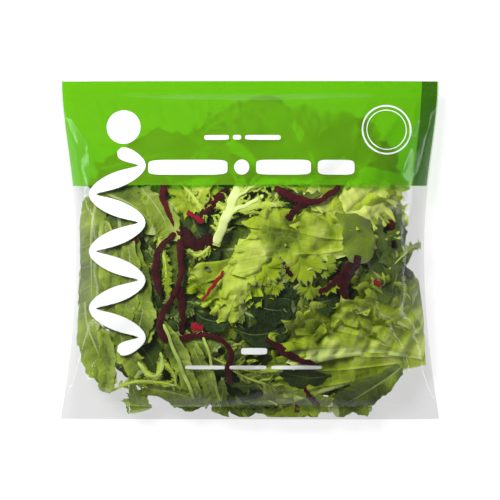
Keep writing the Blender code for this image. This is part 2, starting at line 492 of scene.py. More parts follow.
def core_shape():
    """A closed lump: rows run from its base pole to its header pole, and each row is an ellipse whose height
    is a share of the space between the films, made uneven by noise. Triangles close the poles."""
    turn = np.linspace(0, math.tau, CORE_AROUND + 1)[:-1]
    pole, angle = np.meshgrid(np.linspace(0.02, math.pi - 0.02, CORE_ROWS), turn, indexing="ij")
    along = -np.sign(np.cos(pole)) * np.abs(np.cos(pole)) ** 1.2
    x = (HEAP_LEFT + CORE_INSET) * -np.sin(pole) ** 0.6 * np.cos(angle)
    foot, top = np.interp(x, *HEAP_FOOT) + CORE_INSET, np.interp(x, *HEAP_TOP) - CORE_INSET
    y = (foot + top) / 2 + (top - foot) / 2 * along
    x = np.minimum(x, np.interp(y, *HEAP_RIGHT) - CORE_INSET)
    front, back = front_film(x, y), back_film(x, y)
    z = (front + back) / 2 + (front - back) / 2 * CORE_SHARE * np.sin(pole) ** 0.5 * np.sin(angle)
    z += 0.0030 * soft_noise(x, y, 0.022, 5) * np.sin(angle)
    points = np.stack([x, y, z], axis=-1)
    poles = np.concatenate([points[0].mean(0, keepdims=True), points[-1].mean(0, keepdims=True)])
    here = np.arange(CORE_AROUND)
    beside = (here + 1) % CORE_AROUND
    end, last = CORE_ROWS * CORE_AROUND, (CORE_ROWS - 1) * CORE_AROUND
    low = np.stack([np.full(CORE_AROUND, end), here, beside], axis=-1)
    high = np.stack([np.full(CORE_AROUND, end + 1), last + beside, last + here], axis=-1)
    quads = grid_quads(CORE_ROWS, CORE_AROUND, wraps=True)[:, ::-1]
    return np.concatenate([points.reshape(-1, 3), poles]), [*quads.tolist(), *low.tolist(), *high.tolist()]


def core_finish():
    """Painted shade: nearly black green, a little cloudy, for the shade deep in the heap."""
    finish, tree = new_finish("packed_leaves_painted_shade")
    dark = mixed(tree, cloud_on(tree, 60.0, 4.0), (0.006, 0.010, 0.004), (0.035, 0.060, 0.010))
    solid = wire(tree, "BsdfPrincipled", {"Base Color": dark, "Roughness": 0.7}).outputs[0]
    wire(tree, "OutputMaterial", {"Surface": solid})
    return finish


core_points, core_faces = core_shape()
core_mesh = bpy.data.meshes.new("core")
core_mesh.from_pydata(core_points.tolist(), [], core_faces)
place_piece(core_mesh, core_finish())

# -----------------------------------------------------------------------------------------------------------
# The soft-leaved lettuce. Pale green leaves with a broad flat rib, quilted between the side veins, whose
# margins grow longer than the leaf and so stand in frills. They lie in layers, pressed against the film.

MM = 0.001
LEAF_GAP, LEAF_SOFTNESS = 0.0011, 0.0011
FOLD_CLEAR, FOLD_MARGIN, LEAF_END = 0.0022, 0.004, 0.1235
SHADE_OF_RELIEF, SHADE_LIMIT = 0.045, 4.0


def smooth_path(points, rows):
    """A Catmull-Rom curve: each stretch is the cubic that leaves a point parallel to the line between its
    neighbours."""
    points = np.asarray(points, float) * MM
    padded = np.concatenate([2 * points[:1] - points[1:2], points, 2 * points[-1:] - points[-2:-1]])
    place = np.linspace(0, len(points) - 1, rows)
    stretch = np.minimum(place.astype(int), len(points) - 2)
    share = (place - stretch)[:, None]
    before, start, end, after = (padded[stretch + step] for step in range(4))
    square = (2 * before - 5 * start + 4 * end - after) * share**2
    cube = (3 * start - before - 3 * end + after) * share**3
    return 0.5 * (2 * start + (end - before) * share + square + cube)


def headings(spine):
    """The level direction of a curve at each of its points, and the length of each step."""
    run = np.gradient(spine[:, :2], axis=0)
    step = np.hypot(run[:, 0], run[:, 1])
    return run / np.maximum(step, 1e-9)[:, None], step


def under_film(x, y, depth, back=False):
    """Lays points a depth inside the film, softly kept below it, and squeezed where the two films meet: the
    height is the film's, less the room between the films times (1 - e to the minus depth over room)."""
    front, rear = front_film(x, y) - LEAF_GAP, np.maximum(back_film(x, y), 0) + LEAF_GAP
    room = np.maximum(front - rear, 0.0002)
    soft = (depth + np.sqrt(depth**2 + LEAF_SOFTNESS**2)) / 2
    inward = room * (1 - np.exp(-soft / room))
    return np.where(back, rear + inward, front - inward)


def inside_folds(x, y):
    """Keeps points inside the bag. Near a fold they crowd up to a line just inside it: the line, less the
    margin times e to the minus overshoot over margin."""
    y = np.clip(y, -LEAF_END, LEAF_END)
    limit = half_width(y / (BAG_LENGTH / 2)) - FOLD_CLEAR
    past = np.abs(x) - limit + FOLD_MARGIN
    crowded = np.sign(x) * (limit - FOLD_MARGIN * np.exp(-np.maximum(past, 0) / FOLD_MARGIN))
    return np.where(past > 0, crowded, x), y


def shade_of(lift, strength=1.0):
    """Painted shade and highlight: how much paler a raised part of a leaf is painted, and how much darker a
    sunken one, for the light on its crests and the shade in its hollows.
    """
    return strength * SHADE_OF_RELIEF * np.clip(lift / MM, -SHADE_LIMIT, SHADE_LIMIT)


def leaf_blade(path, width, seed, rows=84, columns=35, base=0.25, shoulder=0.5, tip=5.0, sweep=0.45, ruffle=0.0,
               waves=7.0, crumple=0.0012, fold=0.0, curl=0.0, teeth=0.0, tooth_count=22, lobes=0.0,
               lobe_count=5, pucker=0.0, veins=9, back=False):
    """One leaf: rows along its rib and columns across it. Its half width rises to the shoulder and rounds off
    at the tip. The rows sweep forward like side veins. The height adds a quilted relief between the veins, a
    slow crumple, a fold, a curl, and a frill: sines along the margin that grow towards it, and that also swing
    along it and sway across it, so that the frill folds over itself."""
    chance = np.random.default_rng(seed)
    even = np.linspace(-1, 1, columns)
    crowded = np.sign(even) * (0.55 * np.abs(even) + 0.45 * np.sin(np.abs(even) * math.pi / 2))
    share, across = np.meshgrid(np.linspace(0, 1, rows), crowded, indexing="ij")
    off, right = np.abs(across), across > 0
    spine = smooth_path(path, rows)
    heading, step = headings(spine)
    rise = np.clip(share / shoulder, 0, 1)
    profile = (base + (1 - base) * rise**2 * (3 - 2 * rise)) * np.maximum(1 - share**tip, 0) ** 0.6
    phases = chance.uniform(0, math.tau, 3) + np.where(right, 2.1, 0.0)[..., None]
    uneven = 1 + 0.10 * np.sin(math.tau * 1.3 * share + phases[..., 0])
    uneven += 0.06 * np.sin(math.tau * 4.9 * share + phases[..., 1])
    uneven += 0.035 * np.sin(math.tau * 12.7 * share + phases[..., 2]) * off
    tooth = (share * tooth_count + 0.3 * np.sin(9 * share + seed)) % 1.0
    margin = 1 + teeth * (tooth - 0.5) * off**5
    cut = 1 - lobes * (0.5 + 0.5 * np.cos(math.tau * lobe_count * share + 0.8 * np.sign(across))) * off**0.7
    side = width * MM * profile * uneven * margin * cut * across
    drift, right_start, left_start, swell_start = chance.uniform(0, 6, 4)
    turn = math.tau * waves * (share + 0.05 * np.sin(math.tau * 2.3 * share + drift))
    turn = turn + np.where(right, right_start, left_start)
    swell = ruffle * MM * (0.65 + 0.35 * np.sin(math.tau * 1.7 * share + swell_start))
    edge, slow = off**2.8, 0.9 * off**1.6
    finer = 2.6 * turn + 1.2
    frill = swell * (edge * (np.sin(turn) + 0.45 * np.sin(finer) * off**3) + slow * np.sin(0.31 * turn))
    swing = swell * (edge * (np.cos(turn) + 0.40 * np.cos(finer) * off**3) + 0.4 * slow * np.cos(0.31 * turn))
    sway = 0.7 * swell * edge * np.sin(turn + 0.9) * np.sign(across)
    ran = share * step.sum()
    astray = share + 0.35 / veins * soft_noise(side, ran, 0.030, seed + 7)
    quilted = (np.abs(np.sin(math.pi * veins * astray)) ** 0.7 - 0.6) * (1 - off**4) * np.clip(off * 5, 0, 1)
    relief = frill + pucker * MM * quilted + crumple * soft_noise(side, ran, 0.024, seed) * (0.35 + off)
    relief += 0.13 * crumple * soft_noise(side, ran, 0.0085, seed + 3)
    relief += fold * np.abs(side) - curl * side**2 / (width * MM)
    forward, sideways = sweep * np.abs(side) * (1 - 0.3 * share) + swing, side + sway
    x = spine[:, None, 0] + heading[:, None, 0] * forward - heading[:, None, 1] * sideways
    y = spine[:, None, 1] + heading[:, None, 1] * forward + heading[:, None, 0] * sideways
    x, y = inside_folds(x, y)
    z = under_film(x, y, spine[:, None, 2] + 0.5 * ruffle * MM + crumple - relief, back)
    plane = np.stack([side + 0.37 * (seed % 11), ran + 0.53 * (seed % 7)], axis=-1)
    # Painted shade and highlight: the shade mark pales the tone on the relief's crests and darkens it in its
    # hollows.
    leaf = (np.stack([x, y, z], axis=-1), plane, across, share, shade_of(relief), np.zeros_like(share))
    return tuple(marks[:, ::-1] for marks in leaf) if back else leaf


def join_leaves(leaves, tones, golds):
    """The points, quads, UV map and marks of several leaves as one shape. Each leaf has a tone and a gold of
    its own, to which its painted shade and highlight and its gilt margin add."""
    grids, planes, acrosses, alongs, shades, gilts = zip(*leaves)
    firsts = np.cumsum([0] + [across.size for across in acrosses])
    quads = [grid_quads(*across.shape)[:, ::-1] + first for across, first in zip(acrosses, firsts)]
    marks = {"across": acrosses, "along": alongs, "tone": [tone + shade for tone, shade in zip(tones, shades)],
             "gold": [gold + gilt for gold, gilt in zip(golds, gilts)]}
    points = np.concatenate([grid.reshape(-1, 3) for grid in grids])
    uv = np.concatenate([plane.reshape(-1, 2) for plane in planes])
    return points, np.concatenate(quads), uv, {
        mark: np.concatenate([values.ravel() for values in parts]) for mark, parts in marks.items()}


def smooth_step(tree, value, low, high, start=0.0, end=1.0):
    """The socket of a smooth step: from start, up to the value low, to end, from the value high."""
    return wire(tree, "MapRange", {0: value, 1: low, 2: high, 3: start, 4: end},
                interpolation_type="SMOOTHSTEP").outputs[0]


def saw_of(group, value):
    """How far a value is from a whole number, from 0 at one to 1 halfway between two."""
    return math_of(group, "MULTIPLY", math_of(group, "PINGPONG", value, 0.5), 2.0)


def markings_group():
    """Leaf markings: a rib down the middle, side veins, finer ones towards the margin, and a net with a
    blistered height between them."""
    group = bpy.data.node_groups.new("leaf_markings", "ShaderNodeTree")
    given_sockets = (("Across", "Float", 0.0), ("Along", "Float", 0.0), ("Plane", "Vector", None),
                     ("Rib Width", "Float", 0.06), ("Side Veins", "Float", 9.0), ("Vein Width", "Float", 0.12),
                     ("Net Scale", "Float", 300.0))
    for name, kind, value in given_sockets:
        socket = group.interface.new_socket(name=name, in_out="INPUT", socket_type="NodeSocket" + kind)
        if value is not None:
            socket.default_value = value
    for name in ("Rib", "Vein", "Net", "Height", "Patch", "Edge"):
        group.interface.new_socket(name=name, in_out="OUTPUT", socket_type="NodeSocketFloat")
    given = group.nodes.new("NodeGroupInput").outputs
    patch = cloud_on(group, 45.0, 3.0, given["Plane"])
    off = math_of(group, "ABSOLUTE", given["Across"])
    narrowing = math_of(group, "SUBTRACT", 1.0, math_of(group, "MULTIPLY", given["Along"], 1.1))
    rib_edge = math_of(group, "MULTIPLY", given["Rib Width"], narrowing)
    rib = smooth_step(group, off, math_of(group, "MULTIPLY", rib_edge, 0.5), rib_edge, 1.0, 0.0)
    spaced = math_of(group, "MULTIPLY", given["Along"], given["Side Veins"])
    wander = math_of(group, "MULTIPLY_ADD", math_of(group, "SUBTRACT", patch, 0.5), 0.7, spaced)
    vein_edge = math_of(group, "MULTIPLY", given["Vein Width"], math_of(group, "SUBTRACT", 1.25, off))
    main_vein = smooth_step(group, saw_of(group, wander), 0.0, vein_edge, 1.0, 0.0)
    finer = saw_of(group, math_of(group, "MULTIPLY", wander, 2.7))
    branch = smooth_step(group, finer, 0.0, math_of(group, "MULTIPLY", vein_edge, 1.6), 0.6, 0.0)
    outer = smooth_step(group, off, 0.25, 0.6)
    vein = math_of(group, "MAXIMUM", main_vein, math_of(group, "MULTIPLY", branch, outer))
    cells = wire(group, "TexVoronoi", {"Vector": given["Plane"], "Scale": given["Net Scale"]},
                 feature="DISTANCE_TO_EDGE").outputs["Distance"]
    net = smooth_step(group, cells, 0.0, 0.13, 1.0, 0.0)
    dome = smooth_step(group, cells, 0.0, 0.4)
    height = math_of(group, "SUBTRACT", dome, math_of(group, "MAXIMUM", rib, vein))
    result = group.nodes.new("NodeGroupOutput").inputs
    for name, value in (("Rib", rib), ("Vein", vein), ("Net", net), ("Height", height), ("Patch", patch),
                        ("Edge", math_of(group, "POWER", off, 5.0))):
        group.links.new(value, result[name])
    return group


leaf_markings = markings_group()


def ramp_of(tree, share, tones, places=None):
    """The colour that a share picks from a ramp of tones, evenly spaced or at the given places."""
    ramp = tree.nodes.new("ShaderNodeValToRGB")
    stops = ramp.color_ramp.elements
    stops[0].color, stops[1].color = (*tones[0], 1), (*tones[-1], 1)
    for index, tone in enumerate(tones[1:-1], 1):
        stops.new(places[index] if places else index / (len(tones) - 1)).color = (*tone, 1)
    tree.links.new(share, ramp.inputs[0])
    return ramp.outputs[0]


def leaf_finish(name, tones, gold, rib_tint, rib_width, side_veins, net_scale=300.0, vein_width=0.12,
                relief=0.5, roughness=0.42, glow=0.28, painted_edge_light=0.05, vein_share=0.28):
    """A leaf: its tone, which carries painted shade and highlight, picks from a ramp of greens, paler on rib
    and veins, and a painted edge light pales it towards the margin. Light glows through it.
    """
    finish, tree = new_finish(name)
    marks = {mark: wire(tree, "Attribute", attribute_name=mark).outputs["Fac"]
             for mark in ("across", "along", "tone", "gold")}
    lines = tree.nodes.new("ShaderNodeGroup")
    lines.node_tree = leaf_markings
    for socket, value in (("Rib Width", rib_width), ("Side Veins", side_veins), ("Net Scale", net_scale),
                          ("Vein Width", vein_width)):
        lines.inputs[socket].default_value = value
    for socket, value in (("Across", marks["across"]), ("Along", marks["along"]),
                          ("Plane", wire(tree, "UVMap", uv_map="leaf").outputs[0])):
        tree.links.new(value, lines.inputs[socket])
    line = lines.outputs
    # Painted highlight: the margin's tone is raised by the painted edge light, for light caught on the leaf's
    # edge.
    edge_lit_tone = math_of(tree, "MULTIPLY_ADD", line["Edge"], painted_edge_light, marks["tone"])
    uneven = math_of(tree, "MULTIPLY_ADD", math_of(tree, "SUBTRACT", line["Patch"], 0.5), 1.35, edge_lit_tone)
    golden = mixed(tree, marks["gold"], ramp_of(tree, uneven, tones), gold)
    pale = math_of(tree, "MAXIMUM", line["Vein"], math_of(tree, "MULTIPLY", line["Net"], 0.4))
    veined = mixed(tree, math_of(tree, "MULTIPLY", pale, vein_share), golden, rib_tint)
    ribbed = mixed(tree, math_of(tree, "MULTIPLY", line["Rib"], 0.85), veined, rib_tint)
    bump = raised(tree, line["Height"], relief, 0.0007)
    solid = wire(tree, "BsdfPrincipled", {"Base Color": ribbed, "Roughness": roughness, "Normal": bump})
    through = wire(tree, "BsdfTranslucent", {"Color": ribbed, "Normal": bump})
    wire(tree, "OutputMaterial", {"Surface": blended(tree, glow, solid.outputs[0], through.outputs[0])})
    return finish


LEAF_GREENS = ((0.022, 0.044, 0.004), (0.130, 0.198, 0.008), (0.350, 0.478, 0.022), (0.620, 0.760, 0.090))
LEAF_GOLD = (0.400, 0.540, 0.003)


def grow(kind, plants):
    """Grows each plant of a list: its path in millimetres with depths, half width, tone, gold, seed and own
    traits. The traits of its kind hold where it has none of its own."""
    leaves = [leaf_blade(path, width, seed, **{**kind, **traits}) for path, width, _, _, seed, traits in plants]
    return join_leaves(leaves, [plant[2] for plant in plants], [plant[3] for plant in plants])


def scatter(count, seed, depths, lengths, widths, tones, golds, traits, back=False):
    """Plants strewn through the heap: each path bends gently from a random place, inside the heap's outline."""
    chance = np.random.default_rng(seed)
    plants = []
    for number in range(count):
        angle, share = chance.uniform(0, math.tau), chance.uniform(0, 1) ** 0.5
        heading, bend = chance.uniform(0, math.tau), chance.uniform(-0.9, 0.9)
        length, depth = chance.uniform(*lengths), chance.uniform(*depths)
        way = heading + bend * np.array([-1, -0.35, 0.35, 1])
        step = length / 3
        x = 122 * share * math.cos(angle) + step * np.cumsum(np.cos(way)) - length * 0.6 * math.cos(heading)
        y = 112 * share * math.sin(angle) + step * np.cumsum(np.sin(way)) - length * 0.6 * math.sin(heading)
        width = chance.uniform(*widths)
        x, y = in_heap(x * MM, (y - 6) * MM, 0.6 * width * MM)
        path = np.column_stack([x / MM, y / MM, np.full(4, depth)])
        tone, gold = chance.uniform(*tones), chance.uniform(*golds)
        plants.append((path, width, tone, gold, seed * 100 + number, {**traits, "back": back}))
    return plants


FRILLY = {"ruffle": 4.2, "waves": 9.0, "pucker": 0.35, "crumple": 0.0040, "sweep": 0.55, "tip": 7.0,
          "base": 0.3, "rows": 118, "columns": 43, "teeth": 0.10, "tooth_count": 17}
THIN = {"rows": 52, "columns": 21}
frilly_lettuce = [
    ([(28, 18, 2), (50, 26, 1), (76, 30, 1), (104, 30, 1)], 14, 0.80, 0.55, 8, {"waves": 6, "ruffle": 3.5}),
    ([(-22, 60, 4), (-33, 48, 2), (-45, 37, 2), (-57, 30, 3)], 10, 0.58, 0.20, 10, {"waves": 6,
      "ruffle": 2.2}),
    ([(-70, 60, 4), (-40, 72, 4), (-8, 84, 3), (22, 90, 4)], 24, 0.22, 0.2, 13, {"waves": 7}),
]
# Painted shade: the leaves strewn deep in the heap get darker tones than those on the back film, for their
# depth.
frilly_lettuce += scatter(16, 21, (9, 14), (55, 85), (16, 25), (0.16, 0.45), (0.0, 0.4), THIN)
frilly_lettuce += scatter(14, 22, (1, 7), (50, 85), (14, 24), (0.4, 0.8), (0.0, 0.4), THIN, back=True)
frilly_finish = leaf_finish("lettuce_leaf", LEAF_GREENS, LEAF_GOLD, (0.47, 0.56, 0.19), 0.10, 7.0,
                            net_scale=200.0, relief=0.7, painted_edge_light=0.22)
make_piece("frilly_lettuce", grow(FRILLY, frilly_lettuce), frilly_finish)

# -----------------------------------------------------------------------------------------------------------
# Green-leaf lettuce. Each leaf spreads from a narrow pale base like a fan, with ribs along its rays. Its
# outer edge is several times too long to lie flat, so it gathers in tight curls that stand towards the film.


def fan_leaf(base, heading, spread, reach, seed, foot=6.0, depth=1.0, ruffle=5.0, waves=8.0, crumple=0.0040,
             rows=56, columns=100, rim=0.20, painted_rim_shade=0.0):
    """One fan: rays leave a narrow foot, and their angle opens as they go. Reach is the rays' length on one
    side, in the middle and on the other. In the rim, the last share of each ray, a sine along the edge lifts
    the surface, a sine of twice the angle swells its crests over their flanks, and a third sways it outwards.
    The blade itself bulges between its ribs, as the size of a slow noise, and bends in broad folds. Its tone
    is painted paler on crests and darker in hollows, as painted shade and highlight, and the painted rim shade
    is how much darker the rim is painted, for the shade in the pockets under its curls."""
    shift = np.random.default_rng(seed).uniform(0, 6, 8)
    even = np.linspace(0, 1, rows)
    crowded = 0.45 * even + 0.55 * np.sin(even * math.pi / 2)
    share, side = np.meshgrid(crowded, np.linspace(-1, 1, columns), indexing="ij")
    off = np.abs(side)
    toward = math.radians(heading)
    angle = toward + math.radians(spread) * side * (0.45 + 0.55 * share)
    first, middle, last = reach
    length = (middle + (last - first) / 2 * side + ((first + last) / 2 - middle) * side**2) * MM
    length = length * (1 + 0.05 * np.sin(6 * side + shift[0]) + 0.03 * np.sin(15 * side + shift[1]))
    length = length * (1 - 0.18 * off**7)
    near = np.clip((share - 1 + rim) / rim, 0, 1)
    edge = 1 - (1 - near**2 * (3 - 2 * near)) * (1 - 0.7 * off**16 * share**0.5)
    turn = math.pi * waves * side + 1.1 * np.sin(2.7 * side + shift[2]) + 0.5 * np.sin(6.1 * side + shift[3])
    swell = ruffle * MM * (0.65 + 0.35 * np.sin(4.3 * side + shift[4]))
    lift = swell * edge * (np.sin(turn) + 0.40 * edge * np.sin(2.3 * turn + shift[5]))
    swing = -0.28 * swell * edge * np.sin(2 * turn)
    sway = swell * edge * (0.55 * np.sin(turn + 1.2) + 0.30 * edge * np.sin(2.3 * turn + shift[6]))
    outward = share * length + sway
    x = (base[0] - foot * side * math.sin(toward)) * MM + outward * np.cos(angle) - swing * np.sin(angle)
    y = (base[1] + foot * side * math.cos(toward)) * MM + outward * np.sin(angle) + swing * np.cos(angle)
    flat_x, flat_y = share * length * np.cos(angle), share * length * np.sin(angle)
    bulge = 0.60 * crumple * np.abs(soft_noise(flat_x, flat_y, 0.026, seed + 1))
    bulge += 0.16 * crumple * soft_noise(flat_x, flat_y, 0.010, seed + 2)
    broad = crumple * soft_noise(flat_x, flat_y, 0.045, seed) * share**0.5
    astray = 0.25 * soft_noise(flat_x, flat_y, 0.05, seed + 4)
    crest = 1 - np.abs(np.sin(math.pi * 1.3 * side + 1.6 * share + astray + shift[7]))
    broad += 0.30 * crumple * crest**2.5 * (1 - edge) * np.clip(share * 3, 0, 1)
    raised_by = lift + bulge + broad
    x, y = inside_folds(x, y)
    z = under_film(x, y, (depth + 0.55 * ruffle) * MM + 0.7 * crumple - raised_by)
    plane = np.stack([flat_x + 0.41 * (seed % 9), flat_y], axis=-1)
    # Painted shade and highlight: crests paler, hollows darker, and the rim darker by the painted rim shade.
    # The paler base is the leaf's own colour.
    shade = shade_of(raised_by - MM, 1.5) + 0.40 * (1 - share) ** 2 - painted_rim_shade * edge
    return np.stack([x, y, z], axis=-1), plane, share * 0.98 + 0.02, (side + 1) / 2, shade, 0.45 * edge


FRILL_ROOT_DEPTH = 0.012


def frill_ribbon(path, width, seed, waves, swell=4.0, rows=200, columns=14):
    """A leaf's frilled margin: a ribbon that grows to the left of a path, from a root sunk under the leaf.
    Towards its free edge a cosine lifts it, a sine of twice the angle swells the crests, and a shifted sine
    sways it out, so that it curls over itself. A finer wave joins in near the edge, and all fades out at the
    path's ends."""
    shift = np.random.default_rng(seed).uniform(0, 6, 5)
    share, off = np.meshgrid(np.linspace(0, 1, rows), np.linspace(0, 1, columns), indexing="ij")
    spine = smooth_path(path, rows)
    heading = headings(spine)[0][:, None, :]
    drift = 0.035 * np.sin(math.tau * 1.9 * share + shift[0])
    drift += 0.012 * np.sin(math.tau * 5.3 * share + shift[1])
    turn = math.tau * waves * (share + drift)
    fade = np.sin(math.pi * np.clip(share, 0.01, 0.99)) ** 0.4
    size = swell * MM * fade * (0.72 + 0.28 * np.sin(math.tau * 2.3 * share + shift[2]))
    lift = size * off * (np.cos(turn) + 0.50 * off * np.cos(2.4 * turn + shift[3]))
    forward = -0.36 * size * off * np.sin(2 * turn)
    sway = size * off**1.5 * (0.80 * np.sin(turn + 0.7) + 0.40 * off * np.sin(2.4 * turn + shift[4]))
    outward = width * MM * fade * (off - 0.25 * off**2) + sway
    x = spine[:, None, 0] + heading[..., 0] * forward - heading[..., 1] * outward
    y = spine[:, None, 1] + heading[..., 1] * forward + heading[..., 0] * outward
    x, y = inside_folds(x, y)
    root = FRILL_ROOT_DEPTH * (1 - off) ** 1.6
    z = under_film(x, y, spine[:, None, 2] + 0.3 * swell * MM + root - lift)
    plane = np.stack([share * 8 * waves * MM, off * width * MM], axis=-1)
    # Painted shade and highlight: crests paler and hollows darker, a painted shade along the root under the
    # curls, and a painted highlight on the free edge.
    shade = shade_of(lift, 2.6) - 0.30 * (1 - off) ** 1.5 + 0.12 * off**4
    return np.stack([x, y, z], axis=-1), plane, off, share, shade, 0.35 * off


# Each fan: its base, heading and spread in degrees, reach, tone, gold, seed and own traits.
fan_lettuce = [
    ((131, -80), 187, 9, (98, 122, 122), 0.50, 0.10, 200, {"waves": 5, "ruffle": 2.6, "depth": 4, "foot": 5}),
    ((131, -73), 153, 31, (46, 76, 122), 0.54, 0.12, 201,
     {"waves": 9, "ruffle": 3.6, "rows": 80, "columns": 150, "foot": 9, "rim": 0.24, "crumple": 0.0060,
     "depth": 3.0, "painted_rim_shade": 0.3}),
    ((132, -58), 137, 24, (36, 52, 58), 0.64, 0.40, 202,
     {"waves": 6, "ruffle": 3.6, "depth": 3.5, "foot": 8, "rim": 0.32, "painted_rim_shade": 0.3}),
    ((94, 6), 181, 19, (72, 104, 98), 0.47, 0.04, 205,
     {"waves": 8, "ruffle": 3.0, "foot": 5, "crumple": 0.0065, "rim": 0.14, "rows": 80, "columns": 120}),
    ((4, -4), 224, 30, (46, 54, 46), 0.54, 0.30, 203, {"waves": 8, "ruffle": 3.6, "depth": 2.5}),
    ((-2, 8), 268, 30, (42, 46, 40), 0.60, 0.45, 204, {"waves": 7, "ruffle": 3.6, "depth": 1.5}),
    ((22, 44), 94, 44, (50, 66, 56), 0.10, 0.20, 206, {"waves": 9, "ruffle": 4.0}),
    ((56, 40), 78, 36, (50, 60, 58), 0.10, 0.20, 207, {"waves": 9, "ruffle": 4.0}),
    # Painted shade: this deep fan gets a near-black tone for its depth.
    ((8, -62), 20, 34, (46, 54, 46), 0.06, 0.25, 208, {"waves": 8, "ruffle": 3.6, "depth": 9}),
    ((-20, 34), 150, 36, (40, 44, 36), 0.42, 0.20, 209, {"waves": 7, "ruffle": 3.2, "depth": 5}),
    ((30, 52), 335, 20, (30, 38, 34), 1.20, 0.0, 210, {"waves": 5, "ruffle": 2.6, "depth": 3}),
    ((62, 62), 318, 24, (46, 56, 50), 1.16, 0.0, 211, {"waves": 8, "ruffle": 4.2, "depth": 1.5, "foot": 10}),
]
# Each margin: its path, width, tone, gold, seed, waves and swell.
frilled_margins = [
    ([(20, -82, 0), (25, -68, 0), (40, -56, 0), (60, -48, 0), (80, -52, 0), (97, -59, 0), (114, -62, 0)], 14,
     0.66, 0.30, 221, 9, 6.4),
    ([(48, -68, 0), (62, -60, 0), (80, -62, 0), (98, -70, 0)], 9, 0.60, 0.25, 222, 5, 5.0),
    ([(84, -46, 0), (82, -38, 0), (92, -32, 0), (104, -30, 0), (118, -38, 0)], 12, 0.66, 0.35, 223, 6, 6.0),
    ([(-8, -42, 3), (-24, -33, 2), (-37, -22, 2), (-40, -6, 3)], 8, 0.44, 0.20, 224, 5, 4.4),
    ([(106, 40, 3), (110, 27, 2), (104, 15, 2), (90, 12, 3)], 8, 1.05, 0.05, 225, 5, 4.6),
    ([(20, -26, 3), (6, -34, 2), (-8, -38, 3)], 7, 0.34, 0.30, 226, 4, 4.0),
]
FAN_GREENS = ((0.022, 0.044, 0.004), (0.140, 0.215, 0.007), (0.360, 0.490, 0.018), (0.780, 0.880, 0.190))
fans = [fan_leaf(base, heading, spread, reach, seed, **traits)
        for base, heading, spread, reach, _, _, seed, traits in fan_lettuce]
fans += [frill_ribbon(path, width, seed, waves, swell)
         for path, width, _, _, seed, waves, swell in frilled_margins]
fan_shape = join_leaves(fans, [fan[4] for fan in fan_lettuce] + [margin[2] for margin in frilled_margins],
                        [fan[5] for fan in fan_lettuce] + [margin[3] for margin in frilled_margins])
fan_finish = leaf_finish("fan_lettuce_leaf", FAN_GREENS, LEAF_GOLD, (0.60, 0.71, 0.22), 0.04, 9.0,
                         net_scale=170.0, vein_width=0.13, relief=0.6, painted_edge_light=0.12, vein_share=0.42)
make_piece("fan_lettuce", fan_shape, fan_finish)

# -----------------------------------------------------------------------------------------------------------
# Flat romaine leaves. Longer, smoother and darker than the frilly ones, with a broad pale rib. They stand up
# the bag's left side, and cut pieces of them lie along its base.

